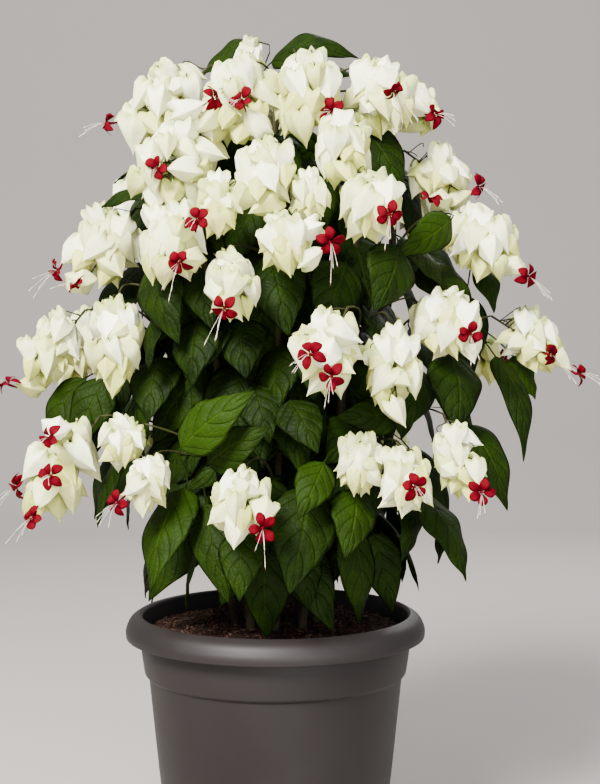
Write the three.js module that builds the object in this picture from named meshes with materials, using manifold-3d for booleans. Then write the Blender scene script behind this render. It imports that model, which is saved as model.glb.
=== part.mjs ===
// A bleeding heart vine (Clerodendrum thomsoniae) grown as a flowering mound in a round resin pot.
// Woody canes stand in the potting mix and fan out under the mound. Leaves hang from them in a shell,
// and drooping panicles of white, five-ribbed calyces stand out past the leaves on thin branches.
// Red five-lobed flowers with long stamens open from some calyces.
// Millimetres, +Z up. The origin is the centre of the pot's underside, and -Y is the plant's best side.
import * as THREE from "three";
import { mergeVertices } from "three/addons/utils/BufferGeometryUtils.js";
import Module from "manifold-3d";

const wasm = await Module();
wasm.setup();

// ---------------------------------------------------------------- driving dimensions

const POT_SIDES = 32;
const POT_FLOOR = 4;
// Outside and inside of the pot as [radius, height], from the underside's centre over the rolled rim.
const POT_PROFILE = [
  [0, 0], [102, 0], [105, 3], [115.6, 78], [126.9, 188], [131, 191], [134.8, 216], [134.8, 234],
  [144.8, 234], [145.8, 227.5], [149.4, 227], [150, 234], [146, 244.5], [135.5, 250.5], [132.8, 247.5],
  [130, 216], [125.2, 186], [100, POT_FLOOR], [0, POT_FLOOR],
];
const DRAIN_HOLES = 4;
const DRAIN_RADIUS = 6;
const DRAIN_SIDES = 8;
const DRAIN_CIRCLE = 62;

const GAP = 0.4;
const SMALLEST_STEP = 0.4; // slivers thinner than this are smoothed out where pieces are fused
const SOIL_SIDES = 16;
const SOIL_PROFILE = [
  [0, POT_FLOOR + GAP], [98.6, POT_FLOOR + GAP], [124.2, 186.5], [129.2, 222],
  [126, 234], [60, 238], [0, 240],
];

const CANE_SIDES = 4;
const CANE_STEPS = 6;
const CANE_FOOT = 180; // height of a cane's lower end, inside the potting mix
const CANE_RADIUS = 5.2;
const CANE_TIP_RADIUS = 2.6;
const CANE_UPRIGHT = 0.3; // share of its height over which a cane goes straight up
const CANE_ELBOW = 0.62; // share of its height at which a cane leans out the most
const CANE_TWIST = 9; // degrees round the mound that the elbow stands ahead of the foot
// turn is degrees round from the front towards +X. foot, middle and reach are radii from the pot's middle.
const CANES = {
  crown: { turn: 0, foot: 0, middle: -14, reach: 6, top: 752 },
  front: { turn: 358, foot: 33, middle: 84, reach: 96, top: 650 },
  front_right: { turn: 42, foot: 34, middle: 112, reach: 112, top: 662 },
  right: { turn: 88, foot: 36, middle: 124, reach: 118, top: 640 },
  back_right: { turn: 138, foot: 34, middle: 112, reach: 104, top: 650 },
  back: { turn: 182, foot: 35, middle: 108, reach: 98, top: 655 },
  back_left: { turn: 226, foot: 34, middle: 112, reach: 104, top: 648 },
  left: { turn: 270, foot: 36, middle: 122, reach: 118, top: 640 },
  front_left: { turn: 318, foot: 34, middle: 112, reach: 108, top: 665 },
};

const BRANCH_SIDES = 3;
const BRANCH_STEPS = 3;
const BRANCH_FOOT_RADIUS = 2.76;
const BRANCH_RADIUS = 2.3;
const BRANCH_CLIMB = 0.35; // how hard a branch climbs as it leaves its cane, as a share of its span
const BRANCH_NOD = 0.4; // how early it bends towards its panicle, as a share of its span
const BRANCH_RISE = 0.75; // how steeply it comes up to the panicle, as a share of the way along
// Petioles may join wood at these steps, in 24ths of a cane and in 12ths of a branch.
const CANE_JOINTS = { first: 7, last: 23, of: 24 };
const BRANCH_JOINTS = { first: 3, last: 10, of: 12 };

// A panicle's calyces as shares of the way from its middle to its outside.
const CALYX_NECK = 0.36;
const CALYX_WIDEST = 0.8;
const CALYX_TIP = 1;
const CALYX_SPREAD = 0.74; // how far a calyx's ribs go towards the places where three calyces meet
const CALYX_DROOP = 0.08; // how far a tip sinks, as a share of the panicle's reach
const TIP_WITHIN = 1; // degrees from a calyx's axis within which a point is its tip
const RIB_WITHIN = 34; // and within which it is on a rib: the necks lie at 37
const SPINE_OVERHANG = 0.8; // how far the last calyx hangs past its spine, as a share of the reach
const STALK_WIDTH = 0.42;
// Each calyx has a length of its own round 1. One that would cross a neighbour is drawn shorter in steps.
const CALYX_LENGTHS = [0.88, 1.08];
const SHORTEST_CALYX = 0.45;
const SHORTER = 0.8;
const CLEAR_OF_NEIGHBOURS = 1.03;
const PETALS = 5;
const FLOWER_RADIUS = 12.5;
const FLOWER_TUBE = 1.7;
const FLOWER_FOOT = 0.86; // share of the way from a panicle's middle to a calyx's tip
const STAMEN_LENGTH = 20;
const THROAT_BACK = 3; // the flower's tube ends this far behind its lobes
const LOBE_DEPTH = 1.5;

// One panicle each: the cane that bears it, the height at which its branch forks off, the start and the end
// of its spine, how far its calyces reach from the spine, and the middles of its open flowers.
const PANICLES = [
  { cane: "crown", fork: 715, start: [-63, -30, 788], end: [-121, -60, 728], reach: 40,
    open: [[-160, -52, 729]] },
  { cane: "front_left", fork: 650, start: [-56, -86, 730], end: [-103, -128, 660], reach: 43,
    open: [[-104, -158, 673]] },
  { cane: "crown", fork: 700, start: [-17, -74, 783], end: [-46, -118, 716], reach: 40,
    open: [[-55, -138, 738], [-30, -142, 736]] },
  { cane: "crown", fork: 690, start: [30, -70, 794], end: [26, -116, 731], reach: 41,
    open: [[50, -128, 728]] },
  { cane: "crown", fork: 720, start: [74, -44, 784], end: [106, -80, 738], reach: 36,
    open: [[108, -114, 749]] },
  { cane: "crown", fork: 735, start: [108, 0, 776], end: [146, -25, 742], reach: 27,
    open: [[152, -60, 736]] },
  { cane: "front_right", fork: 650, start: [54, -110, 726], end: [62, -146, 682], reach: 33, open: [] },
  { cane: "right", fork: 620, start: [126, -20, 708], end: [174, -34, 670], reach: 32,
    open: [[148, -68, 655], [196, -46, 670]] },
  { cane: "front", fork: 630, start: [-10, -130, 702], end: [-12, -158, 652], reach: 35, open: [] },
  { cane: "front_right", fork: 615, start: [64, -138, 668], end: [86, -164, 634], reach: 36,
    open: [[98, -196, 629]] },
  { cane: "front_left", fork: 600, start: [-86, -116, 642], end: [-95, -152, 596], reach: 37,
    open: [[-68, -186, 625], [-82, -190, 589]] },
  { cane: "front", fork: 585, start: [-42, -146, 604], end: [-37, -170, 558], reach: 29,
    open: [[-44, -196, 549]] },
  { cane: "front", fork: 570, start: [12, -154, 633], end: [10, -182, 599], reach: 31,
    open: [[47, -196, 606]] },
  { cane: "left", fork: 590, start: [-136, -30, 650], end: [-172, -56, 592], reach: 38,
    open: [[-185, -92, 572], [-207, -64, 588]] },
  { cane: "front_left", fork: 500, start: [-147, -74, 568], end: [-149, -96, 494], reach: 32, open: [] },
  { cane: "left", fork: 480, start: [-188, -8, 552], end: [-236, -24, 490], reach: 31,
    open: [[-260, -38, 480]] },
  { cane: "right", fork: 560, start: [160, -46, 646], end: [216, -64, 601], reach: 35,
    open: [[238, -82, 582]] },
  { cane: "front_right", fork: 465, start: [64, -158, 551], end: [40, -190, 494], reach: 35,
    open: [[29, -224, 510], [47, -226, 491]] },
  { cane: "front_right", fork: 475, start: [103, -128, 542], end: [108, -150, 473], reach: 33, open: [] },
  { cane: "right", fork: 485, start: [126, -96, 562], end: [168, -116, 524], reach: 33,
    open: [[175, -146, 527]] },
  { cane: "right", fork: 470, start: [214, -12, 546], end: [270, -26, 508], reach: 30,
    open: [[265, -52, 508], [296, -34, 489]] },
  { cane: "left", fork: 380, start: [-166, -74, 450], end: [-214, -104, 378], reach: 36,
    open: [[-203, -138, 435], [-202, -140, 400], [-238, -110, 387], [-219, -138, 362]] },
  { cane: "front_left", fork: 365, start: [-122, -100, 444], end: [-148, -122, 421], reach: 25, open: [] },
  { cane: "front_left", fork: 345, start: [-110, -124, 418], end: [-117, -146, 382], reach: 25,
    open: [[-140, -164, 378]] },
  { cane: "front", fork: 345, start: [-26, -178, 412], end: [-32, -202, 368], reach: 31,
    open: [[-11, -230, 364]] },
  { cane: "front_right", fork: 355, start: [84, -150, 436], end: [72, -170, 404], reach: 27, open: [] },
  { cane: "right", fork: 380, start: [154, -120, 454], end: [171, -147, 395], reach: 28,
    open: [[181, -176, 388]] },
  { cane: "crown", fork: 735, start: [-22, -8, 776], end: [-26, -14, 803], reach: 18, open: [] },
  { cane: "crown", fork: 725, start: [-58, 36, 774], end: [-106, 84, 724], reach: 34,
    open: [[-128, 96, 742]] },
  { cane: "crown", fork: 705, start: [8, 62, 774], end: [4, 114, 718], reach: 34, open: [] },
  { cane: "crown", fork: 680, start: [66, 44, 768], end: [116, 80, 722], reach: 32,
    open: [[118, 118, 716]] },
  { cane: "left", fork: 625, start: [-126, 46, 694], end: [-170, 80, 628], reach: 33,
    open: [[-194, 100, 640]] },
  { cane: "back", fork: 640, start: [-46, 120, 690], end: [-62, 166, 628], reach: 33, open: [] },
  { cane: "back_right", fork: 635, start: [46, 124, 690], end: [54, 170, 622], reach: 32,
    open: [[62, 198, 630]] },
  { cane: "right", fork: 600, start: [130, 62, 686], end: [172, 98, 628], reach: 32, open: [] },
  { cane: "left", fork: 455, start: [-176, 66, 560], end: [-218, 98, 492], reach: 31, open: [] },
  { cane: "back_left", fork: 490, start: [-88, 154, 588], end: [-106, 194, 520], reach: 32,
    open: [[-112, 222, 530]] },
  { cane: "back", fork: 495, start: [8, 170, 585], end: [12, 210, 512], reach: 32, open: [[22, 238, 520]] },
  { cane: "back_right", fork: 490, start: [100, 152, 585], end: [126, 190, 516], reach: 31, open: [] },
  { cane: "right", fork: 445, start: [186, 72, 560], end: [226, 104, 496], reach: 30,
    open: [[248, 120, 504]] },
  { cane: "back_left", fork: 350, start: [-130, 132, 430], end: [-156, 168, 372], reach: 30,
    open: [[-168, 194, 380]] },
  { cane: "back", fork: 350, start: [-20, 186, 424], end: [-28, 216, 366], reach: 30, open: [] },
  { cane: "back_right", fork: 350, start: [110, 152, 430], end: [136, 184, 372], reach: 30,
    open: [[148, 210, 380]] },
  { cane: "front_right", fork: 375, start: [112, -156, 428], end: [113, -182, 386], reach: 30,
    open: [[118, -216, 397]] },
  { cane: "front_left", fork: 615, start: [-46, -134, 668], end: [-50, -162, 632], reach: 27, open: [] },
  { cane: "front", fork: 600, start: [27, -132, 668], end: [29, -160, 640], reach: 25, open: [] },
];

// Leaves that show on the front and the top: base, tip, greatest width, roll in degrees about the midrib,
// and how far the midrib arches where that isn't the plain share of its chord.
const SHOWN_LEAVES = [
  { base: [-4, -5, 796], tip: [82, -25, 796], width: 40, arch: 22, roll: 52 },
  { base: [-14, 16, 820], tip: [-76, 12, 790], width: 38, arch: 12, roll: -52 },
  { base: [30, 24, 790], tip: [90, 20, 780], width: 30, arch: 10, roll: 50 },
  { base: [-10, -84, 716], tip: [14, -112, 668], width: 42 },
  { base: [88, -58, 728], tip: [118, -84, 664], width: 50, roll: 40 },
  { base: [-112, -52, 668], tip: [-172, -40, 646], width: 34 },
  { base: [-118, -20, 694], tip: [-158, -22, 674], width: 28 },
  { base: [-115, -118, 593], tip: [-74, -150, 528], width: 50 },
  { base: [-69, -122, 586], tip: [-56, -148, 530], width: 42 },
  { base: [-5, -110, 600], tip: [12, -142, 524], width: 60 },
  { base: [64, -112, 593], tip: [38, -140, 530], width: 54 },
  { base: [164, -92, 634], tip: [108, -128, 597], width: 36 },
  { base: [108, -128, 604], tip: [84, -150, 546], width: 54 },
  { base: [118, -84, 618], tip: [158, -98, 566], width: 52 },
  { base: [138, -70, 593], tip: [188, -92, 541], width: 48, roll: 35 },
  { base: [203, -8, 598], tip: [216, -18, 548], width: 34, roll: 50 },
  { base: [166, -86, 508], tip: [167, -112, 436], width: 60, roll: 30 },
  { base: [138, -92, 500], tip: [136, -122, 436], width: 48, roll: 20 },
  { base: [214, -40, 506], tip: [238, -62, 404], width: 34, roll: 45, arch: 18 },
  { base: [238, 2, 506], tip: [260, -4, 462], width: 34, roll: 50 },
  { base: [184, -68, 441], tip: [219, -86, 360], width: 48, roll: 40 },
  { base: [136, -112, 380], tip: [173, -138, 302], width: 56 },
  { base: [128, -92, 376], tip: [116, -112, 316], width: 34 },
  { base: [150, -100, 362], tip: [150, -112, 314], width: 24 },
  { base: [112, -116, 452], tip: [62, -140, 426], width: 38 },
  { base: [46, -170, 418], tip: [22, -196, 370], width: 38 },
  { base: [78, -156, 392], tip: [66, -186, 334], width: 46 },
  { base: [31, -138, 388], tip: [12, -174, 297], width: 64 },
  { base: [68, -104, 350], tip: [78, -84, 252], width: 50 },
  { base: [93, -78, 338], tip: [112, -72, 262], width: 40, roll: 40 },
  { base: [-84, -104, 384], tip: [-112, -150, 296], width: 58 },
  { base: [-64, -116, 371], tip: [-42, -146, 284], width: 44 },
  { base: [-28, -146, 352], tip: [-32, -168, 290], width: 44 },
  { base: [-10, -112, 338], tip: [-8, -104, 243], width: 54 },
  { base: [22, -112, 330], tip: [30, -118, 272], width: 36 },
  { base: [-83, -172, 427], tip: [-17, -192, 478], width: 46 },
  { base: [-60, -160, 412], tip: [-4, -184, 446], width: 42 },
  { base: [13, -128, 467], tip: [38, -156, 420], width: 46 },
  { base: [-19, -118, 481], tip: [8, -142, 432], width: 44 },
  { base: [-193, -26, 488], tip: [-230, -36, 424], width: 48, roll: -50 },
  { base: [-164, -48, 484], tip: [-190, -62, 414], width: 46, roll: -45 },
  { base: [-128, -66, 474], tip: [-122, -90, 410], width: 44 },
  { base: [-143, -72, 416], tip: [-166, -94, 346], width: 42 },
  { base: [-103, -86, 559], tip: [-116, -114, 494], width: 48 },
  { base: [-70, -108, 540], tip: [-74, -136, 480], width: 54 },
  { base: [-33, -112, 540], tip: [-26, -140, 486], width: 50 },
  { base: [-110, -60, 506], tip: [-128, -84, 440], width: 54, roll: -35 },
  { base: [38, -112, 531], tip: [34, -134, 466], width: 52 },
  { base: [82, -112, 448], tip: [72, -142, 400], width: 48 },
  { base: [112, -92, 485], tip: [110, -120, 428], width: 48 },
  { base: [-27, -138, 432], tip: [-18, -160, 378], width: 48 },
];

// The rest of the leaf shell is drawn by rule: rows of leaves round the mound, each hanging out and down.
// height and radius place a row's leaf bases, and from and to are its ends in degrees round from the front.
const LEAF_ROWS = [
  { height: 345, radius: 104, from: 96, to: 264, leaves: 7 },
  { height: 410, radius: 136, from: 84, to: 278, leaves: 9 },
  { height: 478, radius: 156, from: 80, to: 282, leaves: 9 },
  { height: 546, radius: 150, from: 76, to: 284, leaves: 9 },
  { height: 615, radius: 134, from: 78, to: 280, leaves: 8 },
  { height: 690, radius: 104, from: 84, to: 276, leaves: 6 },
  { height: 755, radius: 56, from: 70, to: 310, leaves: 4 },
  { height: 600, radius: 92, from: -62, to: 58, leaves: 3 },
  { height: 510, radius: 96, from: -66, to: 66, leaves: 4 },
  { height: 430, radius: 90, from: -70, to: 70, leaves: 3 },
  { height: 350, radius: 78, from: -80, to: 80, leaves: 3 },
];
const PANICLE_SEED = 5106;
const PANICLE_TURN = 0.9; // radians that each panicle is turned about its spine past the one before
const ROW_SEED = 20417;
const ROW_LEAF_LENGTH = 98;
const ROW_LEAF_WIDTH = 60;
const ROW_LEAF_ROLL = 42; // degrees that the leaves on the left and right turn towards the front
const ROW_LEAF_SWING = 0.8; // how far a leaf swings sideways at the most, as a share of its fall

const LEAF_THICKNESS = 2.2;
const FOLD = 0.22; // how far a folded blade's edges drop, as a share of its half width
const PETIOLE_RADIUS = 1.4;
const MIDRIB_ARCH = 0.11; // how far a midrib arches over its chord, as a share of the chord
const FACING = { radius: 130, up: 0.45 }; // how far a leaf faces out from the mound's axis, and upwards
// How a blade is divided: shares of its length where its outline has a corner, and points round each ring.
const FOLDED = { stations: [0.13, 0.42, 0.76], sides: 4 };
const FLAT = { stations: [0.28, 0.7], sides: 3 };
const BLADE_SETBACK = 4; // a blade counts as starting this far before its base when it is kept clear
// A leaf that would cross a neighbour is bent clear: moved out, rolled about its midrib or swung sideways.
const BEND = { distance: 7, degrees: 13 };
const BENDS = [0, 1, 2, 3].flatMap((effort) => {
  const [step, angle] = [BEND.distance * effort, BEND.degrees * effort];
  const turns = [[0, 0], [angle, 0], [-angle, 0], [0, angle], [0, -angle], [angle, angle], [-angle, -angle]];
  return [0, step, -step].flatMap((out) => turns.map(([roll, swing]) => ({ out, roll, swing })));
});

// Looks by the start of a node's name.
const COLOURS = {
  potting_mix: { color: "#2b1a12", roughness: 0.95, metalness: 0 },
  pot: { color: "#4b4d52", roughness: 0.55, metalness: 0 },
  leafy_cane: { color: "#27521c", roughness: 0.45, metalness: 0 },
  panicle: { color: "#f2f2e6", roughness: 0.6, metalness: 0 },
};

// ---------------------------------------------------------------- small tools

const vec = (p) => new THREE.Vector3(p[0], p[1], p[2]);
const UP = new THREE.Vector3(0, 0, 1);

// Numbers from 0 to 1 that are the same on every run (the mulberry32 generator).
function randomSource(seed) {
  let state = seed >>> 0;
  return () => {
    state = (state + 0x6d2b79f5) >>> 0;
    let t = state;
    t = Math.imul(t ^ (t >>> 15), t | 1);
    t ^= t + Math.imul(t ^ (t >>> 7), t | 61);
    return ((t ^ (t >>> 14)) >>> 0) / 4294967296;
  };
}

// A stock geometry with its duplicate vertices joined and each vertex moved to where place() says.
function reshaped(geometry, place) {
  geometry.deleteAttribute("normal");
  geometry.deleteAttribute("uv");
  const merged = mergeVertices(geometry, 1e-4);
  const position = merged.getAttribute("position");
  for (let i = 0; i < position.count; i++) {
    const moved = place(new THREE.Vector3().fromBufferAttribute(position, i));
    position.setXYZ(i, moved.x, moved.y, moved.z);
  }
  return merged;
}

// The closed solid inside a geometry. A shape that reshaping turned inside out is turned back.
function solidOf(geometry) {
  const vertProperties = new Float32Array(geometry.getAttribute("position").array);
  const triVerts = new Uint32Array(geometry.index.array);
  const made = new wasm.Manifold(new wasm.Mesh({ numProp: 3, vertProperties, triVerts }));
  if (made.volume() >= 0) return made;
  for (let i = 0; i < triVerts.length; i += 3) {
    [triVerts[i + 1], triVerts[i + 2]] = [triVerts[i + 2], triVerts[i + 1]];
  }
  return new wasm.Manifold(new wasm.Mesh({ numProp: 3, vertProperties, triVerts }));
}

// A point of the straight pieces that a tube makes of its curve.
function pointOnTube(curve, steps, t) {
  const step = Math.min(Math.floor(t * steps), steps - 1);
  return curve.getPoint(step / steps).lerp(curve.getPoint((step + 1) / steps), t * steps - step);
}

// A tube along a curve that thins from one radius to another. grow makes it that much fatter and longer.
function tube(curve, [thick, thin], sides, steps, grow = 0) {
  const frames = curve.computeFrenetFrames(steps, false);
  return solidOf(
    reshaped(new THREE.CylinderGeometry(1, 1, 1, sides, steps), (p) => {
      const step = Math.round((0.5 - p.y) * steps);
      const radius = THREE.MathUtils.lerp(thick, thin, step / steps) + grow;
      const centre = curve.getPoint(step / steps);
      if (step === 0) centre.addScaledVector(frames.tangents[0], -grow);
      return centre
        .addScaledVector(frames.normals[step], p.x * radius)
        .addScaledVector(frames.binormals[step], p.z * radius);
    }),
  );
}

function lathe(profile, sides) {
  const points = profile.map(([radius, height]) => new THREE.Vector2(radius, height));
  const turned = new THREE.LatheGeometry(points, sides).rotateX(Math.PI / 2);
  return solidOf(reshaped(turned, (p) => p));
}

// Every piece placed so far, to keep the nodes clear of each other.
const placed = [];

function boxesMeet(a, b) {
  return [0, 1, 2].every((k) => a.min[k] <= b.max[k] && b.min[k] <= a.max[k]);
}

function misses(candidate, { solid, box }) {
  return !boxesMeet(candidate.boundingBox(), box) || candidate.intersect(solid).isEmpty();
}

// Whether a piece may join a node: it must not cross any other node.
function isClear(candidate, node) {
  return placed.every((other) => other.node === node || misses(candidate, other));
}

// Fuses a piece into a node.
function keep(node, solid) {
  placed.push({ node, solid, box: solid.boundingBox() });
  nodes.get(node).push(solid);
}

// ---------------------------------------------------------------- pot and potting mix

function potSolid() {
  const drill = new THREE.CylinderGeometry(DRAIN_RADIUS, DRAIN_RADIUS, 4 * POT_FLOOR, DRAIN_SIDES);
  const hole = solidOf(reshaped(drill.rotateX(Math.PI / 2), (p) => p));
  let pot = lathe(POT_PROFILE, POT_SIDES);
  for (let i = 0; i < DRAIN_HOLES; i++) {
    const angle = ((i + 0.5) / DRAIN_HOLES) * 2 * Math.PI;
    pot = pot.subtract(
      hole.translate([DRAIN_CIRCLE * Math.cos(angle), DRAIN_CIRCLE * Math.sin(angle), 0]),
    );
  }
  return pot;
}

// The potting mix fills the pot to just below the rim, with a plain hole for each cane.
function soilSolid(curves) {
  let soil = lathe(SOIL_PROFILE, SOIL_SIDES);
  for (const curve of Object.values(curves)) {
    soil = soil.subtract(tube(curve, [CANE_RADIUS, CANE_TIP_RADIUS], CANE_SIDES, CANE_STEPS, GAP));
  }
  return soil;
}

// ---------------------------------------------------------------- canes and branches

// A cane leaves the soil almost upright, leans out under the mound and rises to its top.
function caneCurve({ turn, foot, middle, reach, top }) {
  const at = (radius, height, extraTurn = 0) => {
    const angle = THREE.MathUtils.degToRad(turn + extraTurn);
    return new THREE.Vector3(radius * Math.sin(angle), -radius * Math.cos(angle), height);
  };
  const rise = top - CANE_FOOT;
  return new THREE.CubicBezierCurve3(
    at(foot, CANE_FOOT),
    at(foot, CANE_FOOT + CANE_UPRIGHT * rise),
    at(middle, CANE_FOOT + CANE_ELBOW * rise, CANE_TWIST),
    at(reach, top),
  );
}

// The point of a cane at a height, found by halving, because canes always climb.
function canePointAt(curve, height) {
  let low = 0;
  let high = 1;
  for (let i = 0; i < 30; i++) {
    const half = (low + high) / 2;
    if (pointOnTube(curve, CANE_STEPS, half).z < height) low = half;
    else high = half;
  }
  return pointOnTube(curve, CANE_STEPS, low);
}

// A branch climbs from its cane, bends over and meets the panicle from behind.
function branchCurve(from, { start, end }) {
  const meeting = vec(start);
  const span = meeting.distanceTo(from);
  const arrival = vec(end).sub(meeting).normalize().addScaledVector(UP, BRANCH_RISE).normalize();
  const stop = meeting.addScaledVector(arrival, -GAP);
  return new THREE.CubicBezierCurve3(
    from,
    from.clone().addScaledVector(UP, BRANCH_CLIMB * span),
    stop.clone().addScaledVector(arrival, -BRANCH_NOD * span),
    stop,
  );
}

// ---------------------------------------------------------------- calyces and flowers

// Two directions square to an axis and to each other.
function squareTo(axis) {
  const side = new THREE.Vector3().crossVectors(axis, Math.abs(axis.z) < 0.9 ? UP : vec([1, 0, 0]));
  side.normalize();
  return [side, new THREE.Vector3().crossVectors(axis, side)];
}

// A ball of twelve five-ribbed calyces, before it is stretched. An icosahedron's twelve corners are their
// tips, the middles of its twenty faces are the necks where three meet, and five ribs run down each calyx.
function calyxBall() {
  const { index, corners } = icosahedron();
  const faceOnLeft = new Map();
  const vertices = corners.flatMap((p) => p.toArray());
  const faces = [];
  for (let i = 0; i < index.length; i += 3) faces.push([index[i], index[i + 1], index[i + 2]]);
  const middles = faces.map((face) =>
    face.reduce((sum, k) => sum.add(corners[k]), new THREE.Vector3()).normalize(),
  );
  middles.forEach((middle) => vertices.push(...middle.toArray()));
  faces.forEach((face, f) => {
    face.forEach((tip, k) => {
      faceOnLeft.set(`${tip},${face[(k + 1) % 3]}`, f);
      vertices.push(...corners[tip].clone().lerp(middles[f], CALYX_SPREAD).toArray());
    });
  });
  const neck = (f) => corners.length + f;
  const rib = (tip, f) => corners.length + faces.length + 3 * f + faces[f].indexOf(tip);
  const triangles = [];
  for (const [edge, left] of faceOnLeft) {
    const [tip, ahead] = edge.split(",").map(Number);
    const right = faceOnLeft.get(`${ahead},${tip}`);
    triangles.push(tip, rib(tip, right), rib(tip, left));
    triangles.push(rib(tip, right), neck(right), neck(left));
    triangles.push(rib(tip, right), neck(left), rib(tip, left));
  }
  return new THREE.PolyhedronGeometry(vertices, triangles, 1, 0);
}

// The corners of an icosahedron, and its faces as an index of them.
function icosahedron() {
  const stock = reshaped(new THREE.IcosahedronGeometry(1, 0), (p) => p);
  const position = stock.getAttribute("position");
  const corners = Array.from({ length: position.count }, (_, i) =>
    new THREE.Vector3().fromBufferAttribute(position, i),
  );
  return { index: [...stock.index.array], corners };
}

// A panicle hangs from its start: a stalk there, two rings of calyces round its spine, and one at its end.
function panicleShape({ start, end, reach, turn }) {
  const from = vec(start);
  const axis = vec(end).sub(from);
  const half = 0.5 * (axis.length() + SPINE_OVERHANG * reach);
  axis.normalize();
  const { corners } = icosahedron();
  const stand = new THREE.Quaternion().setFromUnitVectors(corners[0], axis.clone().negate());
  stand.premultiply(new THREE.Quaternion().setFromAxisAngle(axis, turn));
  return { centre: from.clone().addScaledVector(axis, half), axis, half, reach, corners, stand };
}

// Where a point of the ball of calyces comes to lie.
// lengths holds each calyx's own length, and the calyx at the start is drawn out as the stalk.
function paniclePoint(shape, direction, lengths) {
  const { centre, axis, half, reach, corners, stand } = shape;
  const angles = corners.map((corner) => THREE.MathUtils.radToDeg(corner.angleTo(direction)));
  const nearest = angles.indexOf(Math.min(...angles));
  const kind = angles[nearest] < TIP_WITHIN ? "tip" : angles[nearest] < RIB_WITHIN ? "rib" : "neck";
  const out = direction.clone().applyQuaternion(stand);
  const along = out.dot(axis);
  const point = out.addScaledVector(axis, -along).multiplyScalar(reach).addScaledVector(axis, along * half);
  if (kind === "neck") return point.multiplyScalar(CALYX_NECK).add(centre);
  if (nearest === 0) return point.multiplyScalar(kind === "tip" ? 1 : STALK_WIDTH).add(centre);
  point.multiplyScalar(lengths[nearest] * (kind === "tip" ? CALYX_TIP : CALYX_WIDEST));
  if (kind === "tip") point.addScaledVector(UP, -CALYX_DROOP * reach * lengths[nearest]);
  return point.add(centre);
}

function panicleSolid(shape, lengths) {
  return solidOf(reshaped(calyxBall(), (direction) => paniclePoint(shape, direction, lengths)));
}

// Calyces that would cross another node are drawn shorter until the whole panicle is clear.
function fittedPanicle(panicle, random) {
  const shape = panicleShape(panicle);
  const [least, most] = CALYX_LENGTHS;
  const lengths = shape.corners.map(() => least + (most - least) * random());
  const crosses = (tried) => !isClear(panicleSolid(shape, tried), panicle.node);
  while (crosses(lengths.map((length) => CLEAR_OF_NEIGHBOURS * length))) {
    const before = [...lengths];
    before.forEach((length, k) => {
      const only = before.map((_, other) => (other === k ? CLEAR_OF_NEIGHBOURS * length : SHORTEST_CALYX));
      if (crosses(only)) lengths[k] = Math.max(SHORTEST_CALYX, SHORTER * length);
    });
    if (lengths.every((length, k) => length === before[k])) break;
  }
  return { shape, lengths, solid: panicleSolid(shape, lengths) };
}

// An open flower in one sweep: from its foot in a calyx a slim tube opens into the five lobes, and the
// bundle of stamens carries on in front of them. Each ring is [radius, distance past the lobes].
function flowerSolid(foot, centre) {
  const axis = centre.clone().sub(foot).normalize();
  const [side, other] = squareTo(axis);
  const rings = [[FLOWER_TUBE, -THROAT_BACK], [FLOWER_RADIUS, 0], [FLOWER_TUBE, LOBE_DEPTH]];
  const bands = rings.length + 1;
  const stock = new THREE.SphereGeometry(1, PETALS, bands);
  return solidOf(
    reshaped(stock, (p) => {
      const band = Math.round((Math.acos(THREE.MathUtils.clamp(p.y, -1, 1)) / Math.PI) * bands);
      if (band === 0) return foot.clone();
      if (band === bands) return centre.clone().addScaledVector(axis, STAMEN_LENGTH);
      const [radius, past] = rings[band - 1];
      const angle = Math.atan2(p.z, p.x);
      return centre
        .clone()
        .addScaledVector(axis, past)
        .addScaledVector(side, radius * Math.cos(angle))
        .addScaledVector(other, radius * Math.sin(angle));
    }),
  );
}

// The point inside a panicle's nearest calyx from which a flower at a place grows.
function flowerFoot(shape, lengths, place) {
  const tips = shape.corners.map((corner) => paniclePoint(shape, corner, lengths)).slice(1);
  const nearest = tips.reduce((best, tip) => (tip.distanceTo(place) < best.distanceTo(place) ? tip : best));
  return shape.centre.clone().lerp(nearest, FLOWER_FOOT);
}

// ---------------------------------------------------------------- leaves

// Share of the greatest half width at a share s of the blade's length: ovate, with a drawn-out tip.
function bladeOutline(s) {
  return Math.sin(Math.PI * s ** 0.62) ** 0.9 * (1 - 0.3 * s ** 4);
}

// Where a blade lies: its base, its chord to the tip, the side it faces, and how far its midrib arches.
function leafFrame(leaf, { out, roll, swing }) {
  const base = vec(leaf.base);
  const chord = vec(leaf.tip).sub(base);
  const along = chord.clone().normalize();
  const middle = base.clone().addScaledVector(chord, 0.5);
  const normal = new THREE.Vector3(middle.x / FACING.radius, middle.y / FACING.radius, FACING.up);
  normal.addScaledVector(along, -normal.dot(along)).normalize();
  base.addScaledVector(normal, out);
  chord.applyAxisAngle(normal, THREE.MathUtils.degToRad(swing));
  along.copy(chord).normalize();
  normal.applyAxisAngle(along, THREE.MathUtils.degToRad((leaf.roll ?? 0) + roll));
  const side = new THREE.Vector3().crossVectors(along, normal);
  return { base, chord, along, normal, side, arch: leaf.arch ?? MIDRIB_ARCH * chord.length() };
}

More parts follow.
